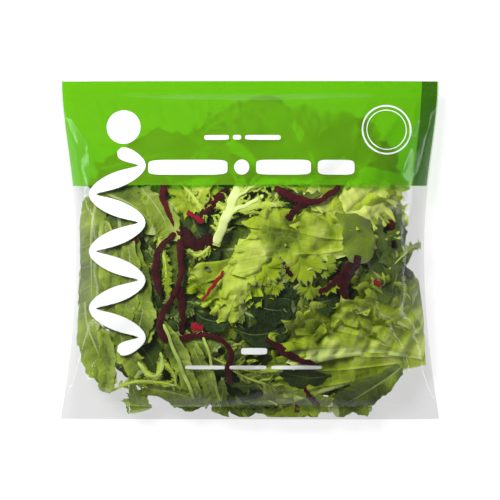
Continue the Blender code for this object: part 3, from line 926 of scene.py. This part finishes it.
FLAT = {"ruffle": 1.3, "waves": 3.0, "pucker": 0.4, "crumple": 0.0022, "sweep": 0.5, "tip": 6.0,
        "base": 0.45, "rows": 74, "columns": 31}
romaine = [
    ([(-112, 42, 2), (-117, 15, 2), (-117, -20, 2), (-116, -62, 2)], 11, 0.56, 0.05, 31, {"base": 0.8,
      "fold": -0.2}),
    ([(-97, 30, 4), (-94, 4, 3), (-92, -30, 3), (-93, -66, 3)], 17, 0.34, 0.05, 32, {"base": 0.6,
      "fold": 0.15}),
    ([(-107, 22, 2), (-104, -4, 1), (-103, -30, 1), (-106, -58, 2)], 8, 0.56, 0.05, 301, {"base": 0.6,
      "fold": 0.35}),
    ([(-90, 12, 2), (-88, -12, 1), (-90, -36, 1), (-96, -60, 1)], 9, 0.46, 0.15, 302, {"fold": 0.35}),
    ([(-76, -20, 3), (-78, -40, 2), (-82, -58, 2), (-90, -76, 2)], 9, 0.42, 0.05, 303, {"fold": 0.4}),
    ([(-109, -58, 1), (-106, -74, 0.5), (-105, -90, 0.5), (-107, -105, 1)], 6.5, 0.54, 0.15, 304,
     {"base": 0.7, "fold": 0.6, "tip": 14, "ruffle": 0.4}),
    ([(-98, -52, 2), (-94, -66, 1), (-88, -80, 1), (-80, -92, 2)], 9, 0.42, 0.20, 305, {"fold": 0.3}),
    ([(-116, 46, 2), (-102, 40, 1), (-85, 32, 2), (-66, 14, 3)], 13, 0.50, 0.10, 33, {"curl": 0.2}),
    ([(-80, 46, 3), (-70, 34, 2), (-62, 20, 2), (-60, 6, 3)], 10, 0.62, 0.20, 34, {"fold": 0.3}),
    ([(-122, -38, 1), (-120, -56, 1), (-112, -76, 1), (-104, -100, 2)], 13, 0.46, 0.12, 35, {"base": 0.5,
      "fold": 0.25}),
    ([(-86, -10, 4), (-82, -32, 3), (-80, -52, 3), (-78, -70, 3)], 10, 0.40, 0.0, 36, {"fold": 0.3}),
    ([(-88, -94, 2), (-86, -103, 2), (-83, -112, 2), (-81, -120, 2)], 8.5, 0.52, 0.20, 37,
     {"tip": 40, "base": 0.15, "shoulder": 1.0, "sweep": 0.0, "pucker": 0.1, "ruffle": 0.2}),
    ([(-78, -102, 4), (-62, -104, 3), (-46, -108, 3), (-30, -112, 3)], 10, 0.48, 0.15, 38, {}),
    ([(-66, -50, 1), (-58, -66, 1), (-48, -88, 1), (-38, -113, 2)], 7.0, 0.56, 0.10, 39, {"base": 0.5,
      "fold": 0.5}),
    ([(-46, -60, 3), (-38, -80, 2), (-30, -100, 2), (-24, -116, 3)], 6.5, 0.60, 0.15, 40, {"base": 0.4,
      "fold": 0.4}),
    ([(-24, -121, 2), (-21, -112, 1), (-20, -103, 1), (-21, -93, 2)], 5.5, 0.55, 0.10, 41, {"tip": 1.6,
      "base": 0.9, "sweep": 0.1}),
    ([(-54, -60, 3), (-44, -66, 2), (-34, -68, 2), (-24, -72, 3)], 9, 0.52, 0.10, 42, {}),
    ([(24, -104, 3), (38, -109, 2), (50, -113, 2), (60, -116, 3)], 8, 0.56, 0.15, 43, {}),
    ([(58, -108, 3), (70, -112, 2), (80, -115, 3), (90, -116, 4)], 7, 0.55, 0.15, 44, {}),
    ([(112, -86, 2), (97, -97, 1), (80, -108, 1), (60, -119, 2)], 11, 0.26, 0.0, 45, {"fold": 0.3,
      "base": 0.5}),
    # Painted shade: this deep leaf gets a dark tone for its depth.
    ([(-14, -40, 8), (2, -48, 7), (18, -52, 7), (34, -52, 8)], 13, 0.12, 0.0, 46, {}),
    ([(86, -12, 7), (98, -22, 6), (112, -30, 4), (122, -34, 2)], 12, 0.48, 0.1, 47, {}),
    ([(-108, 60, 3), (-84, 66, 3), (-60, 70, 4), (-40, 64, 5)], 18, 0.26, 0.1, 48, {}),
]
DEEP = {"rows": 44, "columns": 17}
# Painted shade: the leaves strewn deep in the heap get darker tones than those on the back film, for their
# depth.
romaine += scatter(24, 51, (8, 15), (50, 85), (11, 18), (0.08, 0.38), (0.0, 0.2), DEEP)
romaine += scatter(16, 52, (1, 8), (50, 90), (10, 18), (0.3, 0.65), (0.0, 0.2), DEEP, back=True)
ROMAINE_GREENS = ((0.019, 0.041, 0.007), (0.101, 0.155, 0.014), (0.270, 0.371, 0.035), (0.553, 0.675, 0.149))
romaine_finish = leaf_finish("romaine_leaf", ROMAINE_GREENS, (0.26, 0.38, 0.008), (0.42, 0.50, 0.19), 0.15, 7.0,
                             net_scale=240.0, relief=0.4)
make_piece("romaine", grow(FLAT, romaine), romaine_finish)

# -----------------------------------------------------------------------------------------------------------
# Dark baby leaves and rocket. Small smooth oval leaves, deep green with fine veins, and long ones with
# rounded lobes cut in towards the rib.

SMOOTH = {"ruffle": 0.6, "waves": 2.0, "pucker": 0.4, "crumple": 0.0010, "sweep": 0.4, "tip": 2.6, "base": 0.12,
          "shoulder": 0.45, "rows": 38, "columns": 15}
dark_leaves = [
    ([(62, 27, 0), (72, 20, 0), (79, 8, 0), (81, -10, 0)], 12, 0.72, 0.30, 61, {"tip": 8, "fold": 0.12,
      "crumple": 0.0022, "ruffle": 0.0}),
    ([(104, -24, 5), (96, -8, 4), (88, 8, 4), (85, 24, 5)], 13, 0.42, 0.0, 62, {}),
    ([(84, -26, 5), (92, -30, 4), (100, -28, 4), (108, -22, 4)], 9, 0.40, 0.0, 63, {}),
    # Painted shade: these deeper leaves get dark tones, for the gaps deep in the heap.
    ([(4, -26, 9), (16, -34, 8), (28, -36, 8), (40, -40, 9)], 11, 0.08, 0.0, 64, {}),
    ([(-12, -52, 9), (0, -60, 8), (14, -62, 8), (28, -62, 9)], 11, 0.08, 0.0, 65, {}),
    ([(-60, -38, 7), (-54, -52, 6), (-50, -64, 6), (-46, -74, 7)], 9, 0.30, 0.0, 66, {}),
    ([(-56, 40, 7), (-44, 26, 7), (-38, 12, 8), (-34, 0, 8)], 10, 0.18, 0.0, 67, {}),
    ([(60, -92, 6), (46, -94, 5), (32, -92, 5), (18, -88, 6)], 10, 0.20, 0.0, 68, {}),
    ([(-8, -32, 6), (6, -41, 5), (20, -44, 5), (34, -42, 6)], 12, 0.03, 0.0, 69, {"fold": 0.3}),
    ([(-12, -58, 6), (2, -62, 5), (16, -60, 5), (28, -54, 6)], 11, 0.05, 0.0, 70, {"fold": 0.3}),
    ([(40, -34, 7), (50, -38, 6), (60, -36, 6), (70, -30, 7)], 9, 0.02, 0.0, 401, {"fold": 0.3}),
    ([(-42, -44, 6), (-34, -50, 5), (-24, -52, 5), (-14, -48, 6)], 9, 0.06, 0.0, 402, {"fold": 0.3}),
    ([(-40, 16, 8), (-34, 6, 7), (-30, -4, 7), (-28, -16, 8)], 9, 0.02, 0.0, 403, {"fold": 0.3}),
]
# Painted shade: the leaves strewn deep in the heap get darker tones than those on the back film, for their
# depth.
dark_leaves += scatter(36, 71, (9, 15), (30, 48), (9, 14), (0.02, 0.28), (0.0, 0.1), {})
dark_leaves += scatter(26, 72, (1, 8), (26, 46), (7, 12), (0.2, 0.6), (0.0, 0.1), {}, back=True)
ROCKET = {"lobes": 0.62, "lobe_count": 5, "teeth": 0.25, "tooth_count": 15, "tip": 3.0, "base": 0.12,
          "sweep": 0.2, "rows": 80, "columns": 17}
rocket = [
    ([(104, -30, 2), (108, -12, 1), (111, 8, 1), (109, 34, 1)], 6, 0.66, 0.0, 81, {}),
    ([(108, -34, 3), (104, -14, 2), (98, 4, 2), (94, 24, 2)], 8, 0.50, 0.05, 82, {}),
    ([(80, -10, 4), (92, 2, 3), (104, 10, 3), (114, 22, 2)], 7, 0.42, 0.0, 83, {}),
    ([(24, 44, 3), (32, 40, 2), (42, 39, 2), (54, 42, 3)], 5, 0.46, 0.0, 84, {}),
    ([(-20, -96, 4), (-4, -100, 3), (10, -96, 3), (22, -88, 4)], 6, 0.40, 0.05, 85, {}),
    ([(-62, 2, 4), (-61, -12, 3), (-60, -24, 3), (-61, -38, 4)], 4.5, 0.62, 0.75, 86, {"lobe_count": 7}),
    ([(64, -20, 3), (62, -26, 2), (56, -30, 2), (48, -30, 3)], 4.5, 0.50, 0.80, 87, {}),
]
# Painted shade: the rocket strewn deep in the heap gets darker tones than the rocket near the film.
rocket += scatter(16, 73, (8, 13), (40, 60), (6, 10), (0.2, 0.5), (0.0, 0.3), {})
rocket = [(*plant, {**ROCKET, **traits}) for *plant, traits in rocket]
DARK_GREENS = ((0.010, 0.023, 0.007), (0.039, 0.072, 0.012), (0.111, 0.169, 0.023), (0.260, 0.351, 0.046))
dark_finish = leaf_finish("dark_leaf", DARK_GREENS, (0.29, 0.41, 0.005), (0.20, 0.26, 0.08), 0.09, 7.0,
                          net_scale=420.0, vein_width=0.09, relief=0.3, roughness=0.38)
make_piece("baby_leaves", grow(SMOOTH, dark_leaves + rocket), dark_finish)

# -----------------------------------------------------------------------------------------------------------
# Frisee. Each leaf is a pale flat stem that branches into thin jagged straps, which twist and hook at their
# ends.

STRAPS, STRAP_ROWS, STRAP_HALF, STRAP_DEPTHS = 18, 22, 0.0017, 0.002
STRAP_ACROSS = np.array([-1.0, -0.35, 0.35, 1.0])


def frisee_frond(path, width, seed):
    """Straps out of a stem: each starts on one side of the path, and its heading turns steadily, so its course
    is the running sum of cosines and sines. It tapers as a root of (1 - share squared), with saw teeth on
    both edges."""
    chance = np.random.default_rng(seed)
    order = np.linspace(0.15, 1, STRAPS)
    side = np.where(np.arange(STRAPS) % 2 == 0, 1.0, -1.0)
    spine = smooth_path(path, 200)
    place = np.minimum((order * 199).astype(int), 198)
    run = np.diff(spine, axis=0)[place]
    first = np.arctan2(run[:, 1], run[:, 0]) + side * chance.uniform(0.35, 0.95, STRAPS) * (1 - 0.6 * order)
    bend = side * chance.uniform(-0.6, 1.9, STRAPS)
    length = width * MM * chance.uniform(0.6, 1.25, STRAPS) * np.sin(math.pi * (0.12 + 0.72 * order)) ** 0.5
    share, across = np.meshgrid(np.linspace(0, 1, STRAP_ROWS), STRAP_ACROSS, indexing="ij")
    ran = share[:, 0]
    way = first[:, None] + bend[:, None] * ran**2 + 0.35 * np.sin(9 * ran + chance.uniform(0, 6, (STRAPS, 1)))
    pace = (length / STRAP_ROWS)[:, None]
    x = spine[place, 0, None] + np.cumsum(np.cos(way) * pace, axis=1)
    y = spine[place, 1, None] + np.cumsum(np.sin(way) * pace, axis=1)
    tooth = (share * 4.5 + 0.5 * (across > 0)) % 1.0
    off = (STRAP_HALF * (1 - share**2) ** 0.5 * (0.55 + 0.75 * tooth) * across)[None]
    twist = (chance.uniform(-0.9, 0.9, (STRAPS, 1)) * 2 * ran)[:, :, None]
    x = x[:, :, None] - np.sin(way)[:, :, None] * off * np.cos(twist)
    y = y[:, :, None] + np.cos(way)[:, :, None] * off * np.cos(twist)
    lift = chance.uniform(-1, 1, (STRAPS, 1, 1)) * STRAP_DEPTHS * np.sin(math.pi * 0.7 * share)[None]
    depth = spine[place, 2][:, None, None] + 0.0012 + lift - off * np.sin(twist) + 0.0007 * np.abs(across)[None]
    x, y = inside_folds(x, y)
    plane = np.stack([across * 0.002 + seed * 0.1, share * 0.9 * 0.02], axis=-1)
    unshaded = np.zeros_like(share)
    return [(grid, plane, across, share * 0.9, unshaded, unshaded)
            for grid in np.stack([x, y, under_film(x, y, depth)], axis=-1)]


def frisee_leaves(fronds):
    """Each frond's stem, as a narrow leaf, and its straps."""
    leaves, tones, golds = [], [], []
    for path, width, tone, gold, seed, stem in fronds:
        leaves.append(leaf_blade(path, stem, seed, rows=50, columns=9, base=0.6, shoulder=0.9, tip=9.0,
                                 sweep=0.0, fold=-0.35, crumple=0.0004))
        leaves += frisee_frond(path, width, seed)
        tones += [tone + 0.4] + [tone] * STRAPS
        golds += [gold * 0.3] + [gold] * STRAPS
    return join_leaves(leaves, tones, golds)


# Each frond: its path, the length of its straps, tone, gold, seed and its stem's half width.
frisee = [
    ([(-25, 3, 1), (-20, 18, 0.5), (-13, 33, 0.5), (-6, 50, 1)], 15, 0.85, 0.15, 91, 4.4),
    ([(-16, 28, 1.5), (-4, 30, 1), (8, 33, 1), (20, 33, 2)], 14, 0.82, 0.15, 92, 2.4),
    ([(-8, 40, 2), (2, 46, 2), (12, 50, 2), (24, 50, 3)], 16, 0.78, 0.20, 93, 2.2),
    ([(-12, 26, 2), (-18, 30, 2), (-26, 34, 2), (-32, 34, 3)], 9, 0.80, 0.10, 94, 1.6),
    ([(-26, 8, 4), (-30, 2, 3), (-38, -4, 3), (-44, 0, 4)], 9, 0.56, 0.25, 95, 1.2),
    ([(-102, -104, 2), (-88, -98, 0.5), (-74, -97, 0.5), (-54, -100, 1)], 9, 0.62, 0.45, 96, 1.5),
    ([(-54, -100, 1), (-56, -92, 0.5), (-60, -86, 0.5), (-64, -82, 1)], 5, 0.62, 0.45, 97, 1.2),
    ([(-80, -84, 1), (-76, -90, 0.5), (-69, -94, 0.5), (-65, -80, 1)], 6, 0.62, 0.55, 98, 1.6),
    ([(-14, -88, 4), (-2, -94, 3), (10, -98, 3), (22, -102, 4)], 13, 0.44, 0.15, 99, 0.9),
    ([(-30, -78, 5), (-16, -84, 4), (-4, -88, 4), (10, -90, 5)], 13, 0.40, 0.15, 100, 0.9),
    ([(102, -14, 3), (110, -6, 1), (118, 1, 0.5), (126, 4, 0.5)], 8, 0.52, 0.15, 101, 0.9),
    ([(-74, 18, 5), (-66, 6, 4), (-62, -10, 4), (-60, -30, 4)], 9, 0.58, 0.65, 102, 1.3),
    ([(-52, 50, 3), (-44, 42, 2), (-38, 34, 2), (-34, 26, 3)], 8, 0.62, 0.2, 103, 1.2),
    ([(-36, 84, 4), (-24, 94, 3), (-8, 102, 3), (10, 106, 4)], 13, 0.30, 0.2, 104, 1.8),
]
# Painted shade: the fronds strewn deep in the heap get darker tones than those near the film.
for path, _, tone, gold, seed, _ in scatter(12, 74, (8, 13), (30, 55), (1, 2), (0.2, 0.45), (0.1, 0.4), {}):
    frisee.append((path, 14, tone, gold, seed, 1.3))
frisee_finish = leaf_finish("frisee_leaf", LEAF_GREENS, LEAF_GOLD, (0.56, 0.64, 0.28), 0.30, 3.0,
                            net_scale=500.0, relief=0.3)
make_piece("frisee", frisee_leaves(frisee), frisee_finish)

# -----------------------------------------------------------------------------------------------------------
# Coriander. Flat fans, each cut into three rounded lobes with fine teeth, lie over each other in bunches.

LOBES, LEAFLET_SPREAD = 3, 1.35
LEAFLET_ROWS, LEAFLET_COLUMNS = 11, 81


def herb_fan(middle, size, turn, depth, seed):
    """One leaflet: a polar grid about its stem's end. Its radius swells into lobes as the root of a cosine,
    with saw teeth, and each lobe's middle stands a little proud."""
    chance = np.random.default_rng(seed)
    sides = np.linspace(-1, 1, LEAFLET_COLUMNS)
    share, side = np.meshgrid(np.linspace(0, 1, LEAFLET_ROWS), sides, indexing="ij")
    lobe = np.abs(np.cos(math.pi * LOBES * side / 2))
    tooth = (np.abs(side) * 5.5 + chance.random()) % 1.0
    rim = (0.74 + 0.26 * lobe**0.7) * (1 - 0.20 * tooth) * (1 - 0.30 * side**4)
    angle = turn + LEAFLET_SPREAD * side * (0.25 + 0.75 * share)
    reach = size * MM * share * (1 - share * (1 - rim))
    x, y = inside_folds(middle[0] * MM + reach * np.cos(angle), middle[1] * MM + reach * np.sin(angle))
    relief = 0.0011 * (lobe - 0.5) * share + 0.0012 * soft_noise(x, y, 0.012, seed)
    z = under_film(x, y, depth * MM + 0.0012 - relief)
    plane = np.stack([side * size * MM + seed, share * size * MM], axis=-1)
    across = (LOBES * side / 2 + 0.5) % 1.0 * 2 - 1
    # Painted shade and highlight: the raised lobe middles are painted paler, the hollows darker.
    return np.stack([x, y, z], axis=-1), plane, across, share, shade_of(relief, 0.5), np.zeros_like(share)


# Each leaflet: where its stem ends, its size, heading, depth, tone and gold.
herbs = [
    ((36, -4), 24, -1.25, 0.5, 0.62, 0.65), ((44, -24), 14, -1.6, 2, 0.42, 0.50), ((52, -10), 13, -0.4, 2,
     0.56, 0.45),
    ((8, -10), 19, -0.75, 0.5, 0.68, 0.85), ((16, -24), 11, -1.2, 2, 0.50, 0.70), ((-52, -40), 14, -1.5, 3,
     0.34, 0.0),
    ((-50, -42), 11, -0.5, 3, 0.36, 0.0), ((-54, -40), 11, -2.5, 4, 0.30, 0.0), ((58, -22), 8, -0.9, 4, 0.48,
     0.80),
    ((92, -6), 10, 1.2, 4, 0.56, 0.55), ((40, 42), 8, 1.9, 3, 0.56, 0.80), ((100, 44), 8, -0.3, 2, 0.55,
     0.60),
    ((-10, -44), 12, -1.9, 6, 0.20, 0.1), ((18, -42), 12, -1.4, 6, 0.12, 0.2), ((0, -92), 10, -1.0, 4, 0.30,
     0.1),
]
leaflets = [herb_fan(*herb[:4], 120 + number) for number, herb in enumerate(herbs)]
herb_tones, herb_golds = [herb[4] for herb in herbs], [herb[5] for herb in herbs]
# Painted shade: the leaflets strewn deep in the heap, and the deep ones listed, get darker tones for their
# depth.
for path, _, tone, gold, seed, _ in scatter(26, 75, (8, 14), (20, 30), (1, 2), (0.08, 0.34), (0.0, 0.3), {}):
    leaflets.append(herb_fan(path[1, :2], 12 + seed % 6, seed * 2.4, path[1, 2], seed))
    herb_tones.append(tone)
    herb_golds.append(gold)
HERB_GREENS = ((0.012, 0.029, 0.007), (0.052, 0.098, 0.012), (0.169, 0.254, 0.019), (0.377, 0.481, 0.039))
herb_finish = leaf_finish("coriander_leaf", HERB_GREENS, LEAF_GOLD, (0.26, 0.33, 0.08), 0.10, 4.0,
                          net_scale=600.0, relief=0.3)
make_piece("coriander", join_leaves(leaflets, herb_tones, herb_golds), herb_finish)

# -----------------------------------------------------------------------------------------------------------
# Beetroot strips. Thin cut strips of dark red root and stalk, damp but hardly glossy, bent in among the
# leaves, with a few short bright ones.

STRIP_AROUND = 12
BACK_STRIP_DEPTH = 58


def strip_tube(path, width, seed, flatness=0.32, rows=70, uneven=1.0):
    """A closed strip: rings round a smooth path, wider than deep, whose half width wanders with sines along
    the strip and rounds off at both ends as a superellipse."""
    shift = np.random.default_rng(seed).uniform(0, 6, 4)
    spine = smooth_path(path, rows)
    heading = headings(spine)[0]
    turn = np.linspace(0, math.tau, STRIP_AROUND + 1)[:-1]
    share, angle = np.meshgrid(np.linspace(0, 1, rows), turn, indexing="ij")
    wander = 0.20 * np.sin(7 * share + shift[0]) + 0.11 * np.sin(31 * share + shift[1] + 2 * np.cos(angle))
    wander += 0.05 * np.sin(67 * share + shift[3] + 3 * np.cos(angle))
    round_off = np.maximum(1 - np.abs(2 * share - 1) ** 14, 0.0) ** 0.5
    half = width * MM * (1 + uneven * wander) * (0.03 + 0.97 * round_off)
    stray = 0.0003 * np.sin(19 * share + shift[2])
    stray += half * np.sign(np.cos(angle)) * np.abs(np.cos(angle)) ** 0.8
    x = spine[:, None, 0] - heading[:, None, 1] * stray
    y = spine[:, None, 1] + heading[:, None, 0] * stray
    x, y = inside_folds(x, y)
    depth = spine[:, None, 2] + flatness * width * MM - flatness * half * np.sin(angle)
    return np.stack([x, y, under_film(x, y, depth)], axis=-1)


def join_strips(strips, tones):
    """The points, quads and tones of several closed strips as one shape."""
    quads, marks, first = [], [], 0
    for grid, tone in zip(strips, tones):
        rows = len(grid)
        last = first + (rows - 1) * STRIP_AROUND
        quads += [grid_quads(rows, STRIP_AROUND, wraps=True) + first, end_quads(first, STRIP_AROUND)[:, ::-1],
                  end_quads(last, STRIP_AROUND)]
        marks.append(np.full(rows * STRIP_AROUND, tone))
        first += rows * STRIP_AROUND
    points = np.concatenate([grid.reshape(-1, 3) for grid in strips])
    return points, np.concatenate(quads), None, {"tone": np.concatenate(marks)}


def cut_finish(name, tones, middle, scale, unevenness, bump, roughness, specular):
    """Cut stalk or root: its tone and a fine noise pick from a ramp of three colours and roughen it."""
    finish, tree = new_finish(name)
    cloud = cloud_on(tree, scale, 3.0)
    tone = wire(tree, "Attribute", attribute_name="tone").outputs["Fac"]
    share = math_of(tree, "MULTIPLY_ADD", math_of(tree, "SUBTRACT", cloud, 0.5), unevenness, tone)
    colour = ramp_of(tree, share, tones, (0.0, middle, 1.0))
    solid = wire(tree, "BsdfPrincipled", {"Base Color": colour, "Roughness": roughness,
                                          "Specular IOR Level": specular,
                                          "Normal": raised(tree, cloud, *bump)}).outputs[0]
    wire(tree, "OutputMaterial", {"Surface": solid})
    return finish


# Each strip: its path, half width and tone.
beet_strips = [
    ([(-61, 52, 2), (-64, 42, 1), (-61, 30, 1), (-55, 19, 1), (-50, 11, 1)], 2.1, 0.30),
    ([(-54, 12, 1), (-61, 7, 0.5), (-67, -1, 0.5), (-69, -12, 0.5), (-68, -24, 1), (-66, -33, 2)], 2.4, 0.10),
    ([(-51, 10, 2), (-51, 0, 2), (-50, -12, 2), (-52, -24, 1.5), (-57, -36, 1), (-64, -46, 0.5),
      (-66, -56, 0.5), (-61, -69, 1)], 2.3, 0.12),
    ([(-50, -26, 3), (-50, -38, 2), (-49, -50, 3), (-50, -62, 4)], 2.6, 0.05),
    ([(-40, 20, 2), (-33, 28, 2), (-26, 36, 2), (-16, 45, 3)], 2.8, 0.10),
    ([(-46, 28, 1), (-40, 24, 0.5), (-34, 20, 1)], 1.9, 0.75),
    ([(-52, 14, 4), (-44, 6, 3), (-36, 4, 3), (-26, 8, 4)], 5.5, 0.0),
    ([(-56, -67, 2), (-44, -63, 1), (-28, -63, 1), (-17, -69, 1), (-14, -78, 2), (-16, -90, 2),
      (-14, -99, 3)], 2.2, 0.18),
    ([(-43, -55, 1), (-38, -57, 0.5), (-34, -57, 1)], 2.6, 0.95),
    ([(12, -64, 1), (22, -72, 0.3), (33, -79, 0.2), (48, -84, 0.6)], 2.5, 0.15),
    ([(40, -101, 2), (44, -108, 1), (51, -115, 2)], 1.7, 0.25),
    ([(66, 47, 1), (56, 39, 0.5), (46, 35, 0.5), (36, 37, 1), (26, 41, 1), (18, 46, 2)], 2.6, 0.22),
    ([(43, 36, 2), (34, 30, 1), (27, 22, 2)], 2.6, 0.06),
    ([(82, -4, 1.5), (73, -14, 0.5), (68, -26, 1), (70, -38, 2)], 4.2, 0.08),
    ([(66, -19, 2), (57, -27, 1), (50, -31, 2)], 1.9, 0.20),
    ([(23, -9, 2), (27, -14, 1), (31, -20, 2)], 2.2, 0.08),
    ([(-19, -15, 1), (-26, -25, 0.5), (-35, -37, 1)], 1.2, 0.85),
    ([(90, -22, 1.5), (93, -24, 1), (96, -26, 1.5)], 2.0, 0.80),
    ([(-92, 14, 2), (-88, 10, 1), (-82, 6, 2)], 1.8, 0.35),
]
strips = [strip_tube(path, width, 150 + number) for number, (path, width, _) in enumerate(beet_strips)]
strip_tones = [strip[2] for strip in beet_strips]
for path, _, tone, _, seed, _ in scatter(14, 76, (9, 14), (25, 50), (1, 2), (0.0, 0.4), (0, 1), {}):
    strips.append(strip_tube(path, 2.2, seed, rows=40))
    strip_tones.append(tone)
for path, _, tone, _, seed, _ in scatter(10, 77, (1, 6), (25, 50), (1, 2), (0.0, 0.4), (0, 1), {}, back=True):
    strips.append(strip_tube(path + (0, 0, BACK_STRIP_DEPTH), 2.2, seed, rows=40))
    strip_tones.append(tone)
beet_finish = cut_finish("beet_strip", ((0.026, 0.005, 0.006), (0.072, 0.006, 0.010), (0.300, 0.008, 0.020)),
                         0.35, 240.0, 0.9, (0.7, 0.0008), 0.52, 0.25)
make_piece("beet_strips", join_strips(strips, strip_tones), beet_finish)

# -----------------------------------------------------------------------------------------------------------
# Pale stems. The blanched bases of the frisee and lettuce leaves: broad, flat and pale, each of one tone
# along its length, with a fine noise.

stems = [
    ([(-25, 4, 0.5), (-20, 17, 0.3), (-15, 30, 0.3), (-8, 48, 1)], 3.6, 0.74),
    ([(-17, 26, 1), (-10, 30, 0.6), (0, 34, 1), (10, 40, 2)], 1.6, 0.62),
    ([(-14, 30, 1), (-10, 38, 0.8), (-2, 44, 1), (8, 50, 2)], 1.3, 0.58),
    ([(-63, -54, 0.5), (-57, -70, 0.3), (-49, -90, 0.5), (-41, -110, 1)], 1.3, 0.36),
    ([(-36, -58, 2), (-30, -76, 1), (-26, -96, 1), (-22, -112, 2)], 1.0, 0.30),
    ([(-82, -82, 1), (-77, -90, 0.5), (-69, -93, 0.4), (-64, -84, 0.6), (-66, -75, 1)], 1.2, 0.36),
]
stalks = [strip_tube(path, width, 190 + number, flatness=0.4, uneven=0.35)
          for number, (path, width, _) in enumerate(stems)]
stem_finish = cut_finish("pale_stem", ((0.200, 0.300, 0.020), (0.460, 0.590, 0.130), (0.740, 0.810, 0.400)),
                         0.45, 160.0, 0.6, (0.3, 0.0005), 0.4, 0.5)
make_piece("pale_stems", join_strips(stalks, [stem[2] for stem in stems]), stem_finish)

# -----------------------------------------------------------------------------------------------------------
# The stage: a pale floor, soft studio light, and a camera that looks straight down on the bag's front.

FLOOR_REACH = 4.0
LOOK_AT_HEIGHT = 0.03
floor_corners = [(x * FLOOR_REACH, y * FLOOR_REACH, 0) for x, y in ((-1, -1), (1, -1), (1, 1), (-1, 1))]
floor_mesh = bpy.data.meshes.new("floor")
floor_mesh.from_pydata(floor_corners, [], [(0, 1, 2, 3)])
floor = bpy.data.objects.new("floor", floor_mesh)
bpy.context.scene.collection.objects.link(floor)
floor_finish, floor_tree = new_finish("pale_floor")
floor_matt = wire(floor_tree, "BsdfDiffuse", {"Color": (0.20, 0.20, 0.20, 1)}).outputs[0]
floor_glow = wire(floor_tree, "Emission", {"Color": (1, 1, 1, 1), "Strength": 0.85}).outputs[0]
floor_look = wire(floor_tree, "AddShader", {0: floor_matt, 1: floor_glow}).outputs[0]
wire(floor_tree, "OutputMaterial", {"Surface": floor_look})
floor_mesh.materials.append(floor_finish)


def softbox(name, place, size, power, in_gloss):
    """A rectangular light that looks at the bag's middle, seen in the film's gloss or not."""
    light = bpy.data.lights.new(name, "AREA")
    light.shape = "RECTANGLE"
    light.size, light.size_y = size
    light.energy = power
    box = bpy.data.objects.new(name, light)
    box.location = place
    toward = mathutils.Vector((0, 0, LOOK_AT_HEIGHT)) - box.location
    box.rotation_euler = toward.to_track_quat("-Z", "Y").to_euler()
    box.visible_glossy = in_gloss
    bpy.context.scene.collection.objects.link(box)
    return box


softbox("key_light", (-0.65, 0.75, 1.35), (0.7, 0.7), 58.0, False)
softbox("fill_light", (0.9, -0.5, 1.5), (1.6, 1.6), 6.0, False)
for side in (-1, 1):
    strip = softbox("strip_light", (1.1 * side, 0.0, 0.200), (1.5, 0.09), 4.0, True)
    strip.visible_diffuse = False

world = bpy.data.worlds.new("studio")
world.use_nodes = True
studio = world.node_tree
up = wire(studio, "SeparateXYZ", {0: wire(studio, "TexCoord").outputs["Generated"]}).outputs["Z"]
studio.links.new(smooth_step(studio, up, 0.45, 0.80, 0.70, 0.12), studio.nodes["Background"].inputs["Strength"])
bpy.context.scene.world = world
bpy.context.scene.view_settings.view_transform = "Standard"

CAMERA_HEIGHT = 3.2
VIEW_WIDTH = 0.3684
SENSOR_WIDTH = 36.0
camera_data = bpy.data.cameras.new("camera")
camera_data.sensor_width = SENSOR_WIDTH
camera_data.lens = SENSOR_WIDTH * (CAMERA_HEIGHT - LOOK_AT_HEIGHT) / VIEW_WIDTH
camera_data.clip_end = 20.0
camera = bpy.data.objects.new("camera", camera_data)
camera.location = (0, 0, CAMERA_HEIGHT)
bpy.context.scene.collection.objects.link(camera)
bpy.context.scene.camera = camera
